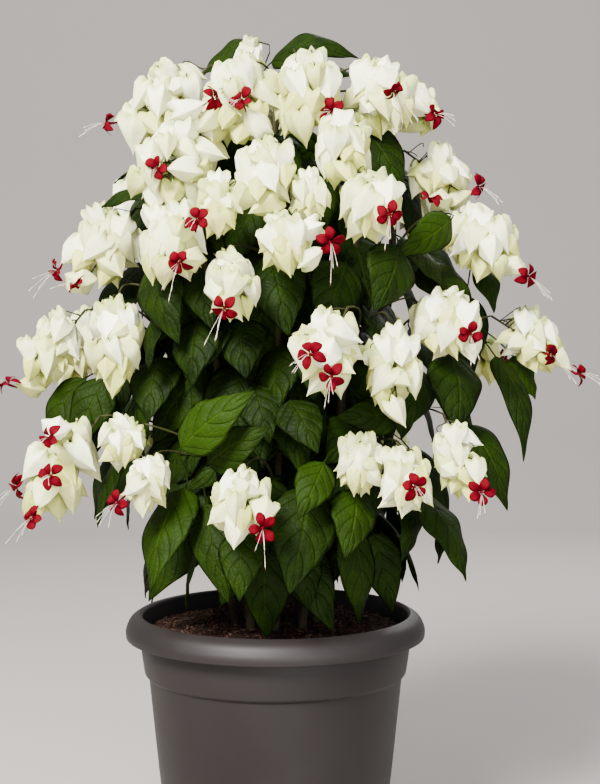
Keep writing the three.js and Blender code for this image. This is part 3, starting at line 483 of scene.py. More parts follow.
class Skin:
    """Gathers closed surfaces into one mesh.

    A surface is a stack of rings round a path, with a point that closes it at either end, and many copies of
    it are worked out at once: rings is (copies, rings, points round, 3) and ends is (copies, 2, 3).
    """

    def __init__(self):
        self.points, self.faces, self.uvs, self.tones = [], [], [], []
        self.uppers, self.creases, self.looks = [], [], []
        self.count = 0

    def add(self, rings, ends, along, across, tone=0.5, look=0, upper=None, crease=None):
        """along has a value for each end and ring, across one for each point round: they are the UV map.

        tone is one value or one for each copy, look the number of the material, and upper and crease have a
        value for each point round: upper marks a blade's upper face, crease the points of a sharp rib.
        """
        copies, rows, columns, _ = rings.shape
        size = rows * columns + 2
        body = rings.reshape(copies, -1, 3)
        points = np.concatenate((ends[:, :1], body, ends[:, 1:]), axis=1)
        faces = self._faces(rows, columns)
        a, b, c = (points[0][faces[:, k]] for k in range(3))
        if np.einsum("ij,ij->i", a, np.cross(b, c)).sum() < 0:
            faces = faces[:, ::-1]
        starts = self.count + size * np.arange(copies)
        self.faces.append((faces[None] + starts[:, None, None]).reshape(-1, 3))
        self.points.append(points.reshape(-1, 3))
        self.uvs.append(np.tile(self._spread(across, along, rows, columns), (copies, 1)))
        self.tones.append(np.repeat(np.broadcast_to(tone, copies), size))
        for kept, values in ((self.uppers, upper), (self.creases, crease)):
            ring = np.zeros(columns) if values is None else np.asarray(values, float)
            kept.append(np.tile(np.concatenate(((ring.max(),), np.tile(ring, rows), (ring.max(),))), copies))
        self.looks.append(np.full(copies * len(faces), look))
        self.count += copies * size

    @staticmethod
    def _faces(rows, columns):
        """The triangles of one copy: a fan at either end, and bands from ring to ring between them."""
        here = np.arange(columns)
        after = (here + 1) % columns
        first = np.stack((np.zeros_like(here), 1 + after, 1 + here), axis=-1)
        low = 1 + columns * np.arange(rows - 1)[:, None]
        a, b, c, d = low + here, low + after, low + columns + after, low + columns + here
        body = np.stack((a, b, c, a, c, d), axis=-1).reshape(-1, 3)
        top = 1 + columns * (rows - 1)
        last = np.stack((np.full_like(here, 1 + rows * columns), top + here, top + after), axis=-1)
        return np.concatenate((first, body, last))

    @staticmethod
    def _spread(across, along, rows, columns):
        """The UV map of one copy: its first end, its rings and its last end."""
        across, rings = np.asarray(across)[None, :], np.asarray(along)[1:-1, None]
        grid = np.stack(np.broadcast_arrays(across, rings), axis=-1).reshape(rows * columns, 2)
        return np.concatenate((((0.5, along[0]),), grid, ((0.5, along[-1]),)))

    def piece(self, name, materials, slot, replaces=()):
        faces = np.concatenate(self.faces)
        corners = faces.ravel()
        mesh = bpy.data.meshes.new(name)
        mesh.vertices.add(self.count)
        mesh.vertices.foreach_set("co", (np.concatenate(self.points) * MM).ravel())
        mesh.loops.add(len(corners))
        mesh.loops.foreach_set("vertex_index", corners.astype(np.int32))
        mesh.polygons.add(len(faces))
        mesh.polygons.foreach_set("loop_start", np.arange(0, len(corners), 3, dtype=np.int32))
        mesh.polygons.foreach_set("use_smooth", np.ones(len(faces), bool))
        mesh.polygons.foreach_set("material_index", np.concatenate(self.looks).astype(np.int32))
        mesh.update(calc_edges=True)
        mesh.uv_layers.new(name="surface").data.foreach_set("uv", np.concatenate(self.uvs)[corners].ravel())
        for label, values in (("tone", self.tones), ("upper", self.uppers)):
            attribute = mesh.attributes.new(label, "FLOAT", "POINT")
            attribute.data.foreach_set("value", np.concatenate(values).astype(np.float32))
        self._crease(mesh)
        for material in materials:
            mesh.materials.append(material)
        made = bpy.data.objects.new(name, mesh)
        bpy.context.scene.collection.objects.link(made)
        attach(made, "root")
        if replaces:
            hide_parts(*replaces)
        return made

    def _crease(self, mesh):
        """Edges between two points of a crease stay sharp."""
        on_crease = np.concatenate(self.creases) > 0
        if on_crease.any():
            ends = np.empty(2 * len(mesh.edges), np.int32)
            mesh.edges.foreach_get("vertices", ends)
            sharp = mesh.attributes.new("sharp_edge", "BOOLEAN", "EDGE")
            sharp.data.foreach_set("value", on_crease[ends.reshape(-1, 2)].all(axis=1))


def add_tubes(skin, paths, radii, sides, tone=0.5, look=0):
    """Round tubes: circles square to each path at each of its points. paths is (copies, points, 3)."""
    paths = np.asarray(paths, float)
    radii = np.broadcast_to(radii, paths.shape[:2])
    tangents = unit(np.gradient(paths, axis=1))
    guide, _ = square_to(unit(paths[:, -1] - paths[:, 0]))
    side = unit(guide[:, None] - tangents * (guide[:, None] * tangents).sum(-1, keepdims=True))
    other = np.cross(tangents, side)
    angle = ring_angles(sides)
    around = np.cos(angle)[:, None] * side[:, :, None] + np.sin(angle)[:, None] * other[:, :, None]
    rings = paths[:, :, None] + radii[:, :, None, None] * around
    along = np.concatenate(((0.0,), np.linspace(0, 1, paths.shape[1]), (1.0,)))
    skin.add(rings, paths[:, [0, -1]], along, wrapped(angle), tone, look)


def add_lathe(skin, profile, sides, ends):
    """A profile of (radius, height) turned about the upright axis, closed by a point at either end."""
    profile = np.asarray(profile, float)
    angle = ring_angles(sides)
    turn = np.stack((np.cos(angle), np.sin(angle), 0 * angle), axis=-1)
    rings = profile[:, None, :1] * turn + profile[:, None, 1:] * UP
    along = np.linspace(0, 1, len(profile) + 2)
    poles = np.array([(0, 0, height) for height in ends], float)
    skin.add(rings[None], poles[None], along, wrapped(angle))


# ---------------------------------------------------------------- finishes


class Shader:
    """Builds a node tree: each call adds a node, links what it is given and returns one of its outputs."""

    def __init__(self, tree):
        self.tree = tree

    def feed(self, sockets, inputs):
        """Links each output that is given to its socket, and sets each plain value on its own."""
        for socket, value in dict(inputs).items():
            if isinstance(value, bpy.types.NodeSocket):
                self.tree.links.new(value, sockets[socket])
            else:
                sockets[socket].default_value = value

    def node(self, kind, inputs=(), output=0, **settings):
        made = self.tree.nodes.new(kind)
        for name, value in settings.items():
            setattr(made, name, value)
        self.feed(made.inputs, inputs)
        return made.outputs[output]

    def group(self, tree, inputs, output):
        return self.node("ShaderNodeGroup", inputs, output, node_tree=tree)

    def math(self, operation, a, b=0.0, clamp=False):
        return self.node("ShaderNodeMath", {0: a, 1: b}, operation=operation, use_clamp=clamp)

    def remap(self, value, low, high, to_low=0.0, to_high=1.0):
        span = {"Value": value, "From Min": low, "From Max": high, "To Min": to_low, "To Max": to_high}
        return self.node("ShaderNodeMapRange", span, interpolation_type="SMOOTHSTEP")

    def mix(self, factor, a, b):
        a, b = (c if isinstance(c, bpy.types.NodeSocket) else (*c, 1.0) for c in (a, b))
        return self.node("ShaderNodeMix", {0: factor, 6: a, 7: b}, output=2, data_type="RGBA")

    def attribute(self, name):
        return self.node("ShaderNodeAttribute", output="Fac", attribute_name=name)

    def place(self):
        return self.node("ShaderNodeTexCoord", output="Object")

    def surface_place(self):
        """The piece's own UV map as (across, along)."""
        uv = self.node("ShaderNodeUVMap", uv_map="surface")
        return [self.node("ShaderNodeSeparateXYZ", {0: uv}, output=k) for k in (0, 1)]

    def noise(self, scale, detail=2.0):
        return self.node("ShaderNodeTexNoise", {"Vector": self.place(), "Scale": scale, "Detail": detail})

    def bump(self, height, depth, strength=1.0):
        """depth is how far a height of 1 stands out, in metres."""
        return self.node("ShaderNodeBump", {"Height": height, "Distance": depth, "Strength": strength})


def material(name, build):
    """A material whose Principled shader's inputs are what build(shader) returns."""
    made = bpy.data.materials.new(name)
    made.use_nodes = True
    shader = Shader(made.node_tree)
    shader.feed(made.node_tree.nodes["Principled BSDF"].inputs, build(shader))
    return made


def group_tree(name, inputs, outputs):
    """An empty node group with named float inputs and outputs: it, a Shader to fill it, and its two ends."""
    tree = bpy.data.node_groups.new(name, "ShaderNodeTree")
    for label, value in inputs.items():
        socket = tree.interface.new_socket(label, in_out="INPUT", socket_type="NodeSocketFloat")
        socket.default_value = value
    for label in outputs:
        tree.interface.new_socket(label, in_out="OUTPUT", socket_type="NodeSocketFloat")
    entry = tree.nodes.new("NodeGroupInput")
    leave = tree.nodes.new("NodeGroupOutput")
    return tree, Shader(tree), entry.outputs, leave.inputs


def vein_tree():
    """Feather veins: from a midrib at across 0.5, lateral veins slant towards the tip.

    Vein is 1 on a lateral vein, Midrib is 1 on the midrib, and Pillow is 1 midway between two veins.
    """
    given_values = {"Across": 0.5, "Along": 0.5, "Veins": LATERAL_VEINS, "Slant": VEIN_SLANT, "Width": 0.12}
    tree, s, given, put = group_tree("feather veins", given_values, ("Vein", "Pillow", "Midrib"))
    edgeward = s.math("MULTIPLY", s.math("ABSOLUTE", s.math("SUBTRACT", given["Across"], 0.5)), 2.0)
    wobble = s.math("MULTIPLY", s.math("SUBTRACT", s.noise(28.0), 0.5), 0.035)
    sweep = s.math("MULTIPLY", s.math("POWER", edgeward, VEIN_CURVE), given["Slant"])
    place = s.math("ADD", s.math("SUBTRACT", given["Along"], sweep), wobble)
    phase = s.math("FRACT", s.math("MULTIPLY", place, given["Veins"]))
    to_vein = s.math("ABSOLUTE", s.math("SUBTRACT", phase, 0.5))
    inner = s.math("SUBTRACT", 0.5, given["Width"])
    fading = s.remap(edgeward, 0.75, 1.0, 1.0, 0.3)
    vein = s.math("MULTIPLY", s.remap(to_vein, inner, 0.5), fading)
    midrib = s.remap(edgeward, 0.02, 0.07, 1.0, 0.0)
    s.feed(put, {"Vein": vein, "Midrib": midrib, "Pillow": s.remap(to_vein, 0.5, 0.1)})
    return tree


def grain_tree():
    """A fine grain: Height is noise at two scales, and Patch is a slow, soft variation from 0 to 1."""
    given_values = {"Scale": 900.0, "Patch Scale": 14.0}
    tree, s, given, put = group_tree("fine grain", given_values, ("Height", "Patch"))
    fine = s.noise(given["Scale"], 3.0)
    coarse = s.noise(s.math("MULTIPLY", given["Scale"], 0.3))
    height = s.math("ADD", s.math("MULTIPLY", fine, 0.6), s.math("MULTIPLY", coarse, 0.4))
    s.feed(put, {"Height": height, "Patch": s.remap(s.noise(given["Patch Scale"], 3.0), 0.3, 0.7)})
    return tree


VEINS = vein_tree()
GRAIN = grain_tree()


def resin(s):
    """Satin dark grey moulded resin, very slightly mottled, with a faint pebble. A warm cast in the grey is
    painted reflection of warm surroundings.
    """
    scales = {"Scale": 1400.0, "Patch Scale": 9.0}
    patch = s.group(GRAIN, scales, "Patch")
    height = s.group(GRAIN, scales, "Height")
    return {
        # Dark grey, very slightly mottled, with a warm cast that is painted reflection of warm surroundings.
        "Base Color": s.mix(patch, (0.0072, 0.0052, 0.0051), (0.0094, 0.0072, 0.007)),
        "Roughness": s.remap(patch, 0, 1, 0.48, 0.55),
        "Specular IOR Level": 0.26,
        "Normal": s.bump(height, 0.00012, 0.6),
    }


def bark_mix(s):
    """Dark, moist bark and peat: each chip has its own brown, and peat darkens it in patches."""
    scales = {"Scale": 700.0, "Patch Scale": 60.0}
    patch = s.group(GRAIN, scales, "Patch")
    peat = (0.013, 0.0074, 0.0056)
    chip = s.mix(s.attribute("tone"), peat, (0.09, 0.049, 0.036))
    return {
        "Base Color": s.mix(s.math("MULTIPLY", patch, 0.5), chip, peat),
        "Specular IOR Level": 0.03,
        "Roughness": 0.95,
        "Normal": s.bump(s.group(GRAIN, scales, "Height"), 0.0012),
    }


def cane_bark(s):
    """Grey-brown bark on the old wood that turns green and purplish towards the tips, with fine streaks."""
    _, along = s.surface_place()
    scales = {"Scale": 500.0, "Patch Scale": 40.0}
    patch = s.group(GRAIN, scales, "Patch")
    wood = s.mix(patch, (0.014, 0.0095, 0.006), (0.034, 0.025, 0.015))
    young = s.mix(patch, (0.013, 0.012, 0.004), (0.03, 0.033, 0.008))
    youth = s.math("MULTIPLY", s.attribute("tone"), s.remap(along, 0, 1, 0.6, 1.0))
    return {
        "Base Color": s.mix(youth, wood, young),
        "Roughness": 0.75,
        "Specular IOR Level": 0.12,
        "Normal": s.bump(s.group(GRAIN, scales, "Height"), 0.0008),
    }


def leaf_blade(s):
    """A satin green blade, quilted between its sunken veins, darker the older it is, and matt underneath.
    Painted shade darkens its sunken lateral veins.
    """
    across, along = s.surface_place()
    tone = s.attribute("tone")
    upper = s.attribute("upper")
    places = {"Across": across, "Along": along, "Veins": LATERAL_VEINS, "Slant": VEIN_SLANT, "Width": 0.075}
    vein = s.group(VEINS, places, "Vein")
    midrib = s.group(VEINS, places, "Midrib")
    pillow = s.group(VEINS, places, "Pillow")
    mottle = s.remap(s.noise(55.0, 3.0), 0.3, 0.7)
    shade = s.math("ADD", tone, s.math("MULTIPLY", s.math("SUBTRACT", mottle, 0.5), 0.22), clamp=True)
    old = s.mix(mottle, (0.0019, 0.0046, 0.0005), (0.0034, 0.008, 0.0008))
    blade = s.mix(shade, old, (0.012, 0.0275, 0.0014))
    # Painted shade in the sunken lateral veins: a darker green along them.
    crease = s.mix(tone, (0.0005, 0.0016, 0.0), (0.006, 0.016, 0.0))
    with_painted_vein_shade = s.mix(s.math("MULTIPLY", vein, 0.7), blade, crease)
    rib = s.mix(tone, (0.003, 0.008, 0.0), (0.028, 0.056, 0.001))
    ribbed = s.mix(s.math("MULTIPLY", midrib, 0.35), with_painted_vein_shade, rib)
    under = s.mix(s.math("MAXIMUM", vein, midrib), (0.0085, 0.02, 0.0005), (0.016, 0.032, 0.002))
    cells = {"Vector": s.place(), "Scale": 165.0}
    net = s.node("ShaderNodeTexVoronoi", cells, feature="DISTANCE_TO_EDGE")
    relief = s.math("SUBTRACT", s.math("MULTIPLY", pillow, 0.7), s.math("MULTIPLY", vein, 0.6))
    relief = s.math("SUBTRACT", relief, s.math("MULTIPLY", midrib, 0.7))
    relief = s.math("ADD", relief, s.math("MULTIPLY", s.remap(net, 0.0, 0.22), 0.32))
    return {
        "Base Color": s.mix(upper, under, ribbed),
        "Roughness": s.remap(upper, 0, 1, 1.0, 0.52),
        "Normal": s.bump(relief, 0.001, 0.9),
        "Specular IOR Level": 0.035,
    }


def calyx_skin(s):
    """A cream-white papery calyx, greenish at its tip, and at its neck partly its own green and partly
    painted shade. A low tone makes it a darker, yellower cream: painted shade on calyces between the others
    and on those facing down.

    Faint veins cross each panel, and a line runs down each rib.
    """
    across, along = s.surface_place()
    tone = s.attribute("tone")
    places = {"Across": across, "Along": along, "Veins": 5.0, "Slant": 0.35, "Width": 0.08}
    vein = s.math("MULTIPLY", s.group(VEINS, places, "Vein"), 0.6)
    # Painted shade: a low tone gives a darker yellow-green cream, a high tone the lit white.
    cream = s.mix(tone, (0.5, 0.51, 0.13), (0.95, 0.96, 0.73))
    # Greener towards the neck: partly the calyx's own green, partly painted shade where the calyces meet.
    neck = s.remap(along, 0.0, 0.32, 0.85, 0.0)
    green = s.mix(neck, cream, (0.36, 0.42, 0.07))
    tipped = s.mix(s.remap(along, 0.8, 1.0, 0.0, 0.4), green, (0.55, 0.55, 0.22))
    lines = s.math("MAXIMUM", vein, s.remap(across, 0.0, 0.14, 1.0, 0.0))
    lined = s.mix(s.math("MULTIPLY", lines, 0.42), tipped, (0.48, 0.52, 0.18))
    fine = s.noise(420.0)
    relief = s.math("ADD", s.math("MULTIPLY", lines, -0.6), s.math("MULTIPLY", fine, 0.25))
    return {
        "Base Color": lined,
        "Roughness": 0.55,
        "Subsurface Weight": 0.08,
        "Subsurface Radius": (1.0, 1.0, 0.6),
        "Subsurface Scale": 0.004,
        "Normal": s.bump(relief, 0.0008, 0.9),
    }


def corolla_red(s):
    """Velvety crimson lobes, deeper at the throat and a little lighter at their rims."""
    _, along = s.surface_place()
    mottle = s.noise(300.0)
    deep = s.mix(mottle, (0.025, 0.0, 0.001), (0.045, 0.0, 0.0018))
    return {
        "Base Color": s.mix(s.remap(along, 0.05, 0.6), deep, (0.08, 0.0004, 0.0042)),
        "Roughness": 0.8,
        "Specular IOR Level": 0.03,
        "Normal": s.bump(mottle, 0.0004, 0.7),
    }


def stamen_thread(s):
    """Pale filaments, flushed red in the throat, that end in brown anthers."""
    _, along = s.surface_place()
    filament = s.mix(s.noise(200.0), (0.5, 0.42, 0.34), (0.7, 0.63, 0.53))
    flushed = s.mix(s.remap(along, 0.1, 0.3), (0.09, 0.002, 0.003), filament)
    return {
        "Base Color": s.mix(s.remap(along, 0.86, 0.9), flushed, (0.16, 0.09, 0.06)),
        "Roughness": 0.6,
    }


def pale_floor(s):
    """Plain pale floor."""
    return {"Base Color": (0.32, 0.295, 0.275, 1.0), "Roughness": 0.9}


# ---------------------------------------------------------------- pot and potting mix


def rounded(profile):
    """A profile of (radius, height, rounding) with each corner turned into a short parabola.

    The parabola starts and ends its rounding away from the corner, or nearer where a side is short.
    """
    corners = np.array([(r, h) for r, h, _ in profile], float)
    shares = np.linspace(0, 1, ROUNDING_STEPS)[:, None]
    outline = [corners[:1]]
    for before, corner, after, (_, _, rounding) in zip(corners, corners[1:], corners[2:], profile[1:]):
        sides = np.linalg.norm(before - corner), np.linalg.norm(after - corner)
        reach = min(rounding, ROUNDING_SHARE * min(sides))
        start = corner + reach * unit(before - corner)
        end = corner + reach * unit(after - corner)
        outline.append((1 - shares) ** 2 * start + 2 * shares * (1 - shares) * corner + shares**2 * end)
    outline.append(corners[-1:])
    return np.concatenate(outline)


def cut_drain_holes(pot):
    """Cuts the round holes through the pot's floor and takes the cutters away again."""
    skin = Skin()
    angle = ring_angles(DRAIN_HOLES) + np.pi / DRAIN_HOLES
    place = DRAIN_CIRCLE * np.stack((np.cos(angle), np.sin(angle)), axis=-1)
    heights = np.linspace(-DRAIN_CUT, DRAIN_CUT, DRAIN_POINTS)
    paths = np.array([[(*p, height) for height in heights] for p in place])
    add_tubes(skin, paths, DRAIN_RADIUS, DRAIN_SIDES)
    cutter = skin.piece("drain_cutter", [], "pot")
    modifier = pot.modifiers.new("drain holes", "BOOLEAN")
    modifier.operation = "DIFFERENCE"
    modifier.solver = "EXACT"
    modifier.object = cutter
    bpy.context.view_layer.update()
    cut = bpy.data.meshes.new_from_object(pot.evaluated_get(bpy.context.evaluated_depsgraph_get()))
    pot.modifiers.clear()
    pot.data = cut
    bpy.data.objects.remove(cutter)


def build_pot(resin_finish):
    skin = Skin()
    add_lathe(skin, rounded(POT_PROFILE), POT_SIDES, (0, POT_FLOOR))
    pot = skin.piece("pot_body", [resin_finish], "pot", ["pot"])
    cut_drain_holes(pot)


def lumpy(x, y):
    """Height of the mix's lumps at a place: a few waves across each other."""
    return SOIL_LUMPS * sum(np.sin(a * x + b * y + c) for a, b, c in SOIL_WAVES) / len(SOIL_WAVES)


def soil_height(x, y):
    """The mix's surface: lowest at the pot's wall, a low crown in the middle, and lumps all over."""
    radius = np.hypot(x, y) / SOIL_RADIUS
    return SOIL_EDGE_HEIGHT + SOIL_CROWN * (1 - radius**2) + lumpy(x, y)


def add_soil_body(skin):
    """The mix below its chips: the pot's inside up to the edge, then rings that shrink over the surface."""
    angle = ring_angles(SOIL_SIDES)
    turn = np.stack((np.cos(angle), np.sin(angle)), axis=-1)
    level = np.ones(SOIL_SIDES)
    rings = [np.column_stack((radius * turn, height * level)) for radius, height in SOIL_PROFILE]
    for share in SOIL_RINGS:
        flat = share * SOIL_RADIUS * turn
        rings.append(np.column_stack((flat, soil_height(*flat.T))))
    poles = np.array([[(0, 0, SOIL_PROFILE[0][1]), (0, 0, soil_height(0, 0))]])
    along = np.linspace(0, 1, len(rings) + 2)
    skin.add(np.array(rings)[None], poles, along, wrapped(angle), SOIL_TONE)


def add_bark_chips(skin):
    """Bark chips strewn over the mix: flattened, crooked spindles, each turned and tipped its own way.

    A spindle is a few ellipses square to its axis, with each of their points drawn in or out by chance.
    """
    rng = np.random.default_rng(CHIP_SEED)
    count = BARK_CHIPS
    angle = rng.uniform(0, 2 * np.pi, count)
    radius = SOIL_RADIUS * np.sqrt(rng.uniform(0, CHIP_COVER, count))
    x, y = radius * np.cos(angle), radius * np.sin(angle)
    middle = np.stack((x, y, soil_height(x, y) + rng.uniform(*CHIP_RISE, count)), axis=-1)
    axis = unit(np.stack((*rng.normal(0, 1, (2, count)), rng.normal(0, CHIP_TILT, count)), axis=-1))
    side, other = square_to(axis)
    length = rng.uniform(*CHIP_LENGTH, count)
    breadth = length * rng.uniform(*CHIP_BREADTH, count)
    thickness = breadth * rng.uniform(*CHIP_THICKNESS, count)
    turn = ring_angles(CHIP_SIDES)
    bulk = rng.uniform(*CHIP_BULK, (count, len(CHIP_STATIONS), CHIP_SIDES))
    rings = (
        middle[:, None, None]
        + (length[:, None] * CHIP_STATIONS)[..., None, None] * axis[:, None, None]
        + 0.5 * (breadth[:, None, None] * bulk * np.cos(turn))[..., None] * side[:, None, None]
        + 0.5 * (thickness[:, None, None] * bulk * np.sin(turn))[..., None] * other[:, None, None]
    )
    half = 0.5 * length[:, None] * axis
    ends = np.stack((middle - half, middle + half), axis=1)
    along = np.linspace(0, 1, len(CHIP_STATIONS) + 2)
    skin.add(rings, ends, along, wrapped(turn), rng.uniform(0, 1, count) ** CHIP_TONE_POWER)


def build_soil(mix_finish):
    skin = Skin()
    add_soil_body(skin)
    add_bark_chips(skin)
    skin.piece("potting_mix_with_chips", [mix_finish], "potting_mix", ["potting_mix"])


# ---------------------------------------------------------------- canes and branches


def cane_handles(name):
    """The four Bezier handles of a cane: upright from its foot, out under the mound, and up to its top."""
    turn, foot, middle, reach, top = CANES[name]
    rise = top - CANE_FOOT

    def at(radius, height, twist=0):
        return radius * compass(np.radians(turn + twist))[0] + height * UP

    return (
        at(foot, CANE_FOOT),
        at(foot, CANE_FOOT + CANE_UPRIGHT * rise),
        at(middle, CANE_FOOT + CANE_ELBOW * rise, CANE_TWIST),
        at(reach, top),
    )


def on_straights(handles, straights, t):
    """Points of the straight pieces that the solid makes of a curve."""
    corners = bezier(*handles, np.linspace(0, 1, straights + 1))
    step = np.minimum((np.asarray(t) * straights).astype(int), straights - 1)
    share = (np.asarray(t) * straights - step)[..., None]
    return corners[step] * (1 - share) + corners[step + 1] * share


def share_at_height(handles, height):
    """How far along a cane's straight pieces it reaches a height. Canes always climb."""
    corners = np.linspace(0, 1, CANE_STRAIGHTS + 1)
    heights = bezier(*handles, corners)[:, 2]
    return np.interp(height, heights, corners)


def branch_handles(panicle):
    """A branch climbs from its cane, bends over and meets its panicle from behind."""
    cane, fork, start, end, _, _ = panicle
    handles = cane_handles(cane)
    foot = on_straights(handles, CANE_STRAIGHTS, share_at_height(handles, fork))
    start = np.array(start, float)
    span = np.linalg.norm(start - foot)
    arrival = unit(unit(np.array(end) - start) + BRANCH_RISE * UP)
    stop = start - BRANCH_GAP * arrival
    return foot, foot + BRANCH_CLIMB * span * UP, stop - BRANCH_NOD * span * arrival, stop


def joints_of_wood():
    """Where petioles may join: (cane, point on the solid, point on the smooth curve) for each joint."""
    joints = []
    for name in CANES:
        handles = cane_handles(name)
        solid = on_straights(handles, CANE_STRAIGHTS, CANE_JOINTS)
        joints += [(name, a, b) for a, b in zip(solid, bezier(*handles, CANE_JOINTS))]
    for panicle in PANICLES:
        handles = branch_handles(panicle)
        solid = on_straights(handles, BRANCH_STRAIGHTS, BRANCH_JOINTS)
        joints += [(panicle[0], a, b) for a, b in zip(solid, bezier(*handles, BRANCH_JOINTS))]
    return joints


def build_wood(bark_finish):
    """Every cane with its branches, one piece for each cane. A cane swells a little at each of its knots."""
    shares = np.linspace(0, 1, CANE_POINTS)
    knots = 1 + KNOT_SWELL * np.maximum(0, np.cos(2 * np.pi * CANE_KNOTS * shares)) ** KNOT_POWER
    cane_radii = np.linspace(*CANE_RADIUS, CANE_POINTS) * knots
    branch_radii = np.linspace(*BRANCH_RADIUS, BRANCH_POINTS)
    for name in CANES:
        skin = Skin()
        path = bezier(*cane_handles(name), shares)
        add_tubes(skin, path[None], cane_radii, CANE_SIDES, OLD_WOOD)
        for panicle in PANICLES:
            if panicle[0] == name:
                path = bezier(*branch_handles(panicle), np.linspace(0, 1, BRANCH_POINTS))
                add_tubes(skin, path[None], branch_radii, BRANCH_SIDES, YOUNG_WOOD)
        skin.piece(f"wood_{name}", [bark_finish], "bark")


# ---------------------------------------------------------------- leaves


def blade_outline(s):
    """Share of the greatest half width at a share s of the length: ovate, with a drawn-out tip.

    It is sin(pi s^0.62)^0.9, narrowed towards the tip by 1 - 0.3 s^4, as in the solids.
    """
    return np.maximum(np.sin(np.pi * s**0.62), 0) ** 0.9 * (1 - 0.3 * s**4)


def leaf_frame(leaf, bend):
    """Where a blade lies: its base, its chord to the tip, its normal, its side direction and its arch."""
    out, roll, swing = bend
    base = np.array(leaf["base"], float)
    chord = np.array(leaf["tip"]) - base
    along = unit(chord)
    middle = base + 0.5 * chord
    facing = np.array((middle[0] / FACING_RADIUS, middle[1] / FACING_RADIUS, FACING_UP))
    normal = unit(facing - np.dot(facing, along) * along)
    base = base + out * normal
    chord = turned(chord, normal, np.radians(swing))
    along = unit(chord)
    normal = turned(normal, along, np.radians(leaf["roll"] + roll))
    arch = leaf["arch"] or MIDRIB_ARCH * np.linalg.norm(chord)
    return base, chord, normal, np.cross(along, normal), arch


def edge_point(leaf, placed):
    """The point of the solid's blade on its right edge at the station that it is known by."""
    base, chord, normal, side, arch = placed
    s = BLADE_STATIONS[leaf["shape"]]
    half = 0.5 * leaf["width"] * blade_outline(s)
    drop = FOLD * half if leaf["shape"] == "folded" else FLAT_EDGE_DROP
    return base + s * chord + half * side + (arch * np.sin(np.pi * s) - drop) * normal


def row_leaves():
    """The leaves of the shell that are drawn by rule, each hanging out and down from its row."""
    between = draws_between(ROW_SEED)
    leaves = []
    for row_height, row_radius, start, stop, count in LEAF_ROWS:
        for i in range(count):
            turn = np.radians(start + (stop - start) * (i + between(*ROW_PLACES)) / count)
            radius = row_radius + between(*ROW_RADIUS_STRAY)
            height = row_height + between(*ROW_HEIGHT_STRAY)
            length = ROW_LEAF_LENGTH * between(*ROW_LENGTHS)
            spread = between(*ROW_SPREAD)
            lean = between(*ROW_LEAN)
            width = ROW_LEAF_WIDTH * between(*ROW_WIDTHS)
            out, sideways = compass(turn)
            fall = np.sqrt(1 - lean * lean)
            swing = ROW_LEAF_SWING * fall * spread
            base = radius * out + height * UP
            hang = lean * out + swing * sideways - np.sqrt(fall**2 - swing**2) * UP
            leaves.append({
                "base": base, "tip": base + length * hang, "width": width, "shape": "flat",
                "roll": ROW_LEAF_ROLL * np.sin(turn), "arch": None,
                "tone": ROW_TONES[0] + (ROW_TONES[1] - ROW_TONES[0]) * abs(2 * spread) ** 1.5,
            })
    return leaves


def shown_leaves():
    """The leaves that are listed one by one."""
    leaves = []
    for base, tip, width, tone, *rest in SHOWN_LEAVES:
        roll, arch = rest or (0, None)
        leaves.append({
            "base": base, "tip": tip, "width": width, "shape": "folded",
            "roll": roll, "arch": arch, "tone": tone,
        })
    return leaves


def corners_of_solid(name):
    """The corners of a CAD node's solid, in millimetres."""
    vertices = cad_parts[name].data.vertices
    points = np.empty(3 * len(vertices))
    vertices.foreach_get("co", points)
    return points.reshape(-1, 3) / MM


def leafy_corners():
    """The corners of every leafy cane's solid, as a tree that finds the nearest."""
    corners = np.concatenate([corners_of_solid(f"leafy_cane_{name}") for name in CANES])
    tree = kdtree.KDTree(len(corners))
    for i, corner in enumerate(corners):
        tree.insert(corner, i)
    tree.balance()
    return tree


def placed_leaves():
    """Each leaf that the solids have, with its place once bent, and the cane and the joint that bear it."""
    corners = leafy_corners()
    joints = joints_of_wood()
    solid_joints = np.array([joint[1] for joint in joints])
    found = []
    for leaf in shown_leaves() + row_leaves():
        for bend in BENDS:
            placed = leaf_frame(leaf, bend)
            signs = (placed[0] + placed[1], edge_point(leaf, placed))
            if all(corners.find(sign)[2] < SAME_PLACE for sign in signs):
                nearest = np.argmin(np.linalg.norm(solid_joints - placed[0], axis=1))
                found.append((leaf, placed, joints[nearest][0], joints[nearest][2]))
                break
    return found


def round_a_blade(columns):
    """A flat ring's points from the left edge over the upper face to the right edge and back below.

    Gives each point's place across, from -1 to 1, and its face: 1 above, 0 on an edge and -1 below.
    """
    around = np.arange(2 * columns)
    x = -1 + 2 * np.where(around <= columns, around, 2 * columns - around) / columns
    return x, np.where(np.abs(x) == 1, 0.0, np.where(around < columns, 1.0, -1.0))


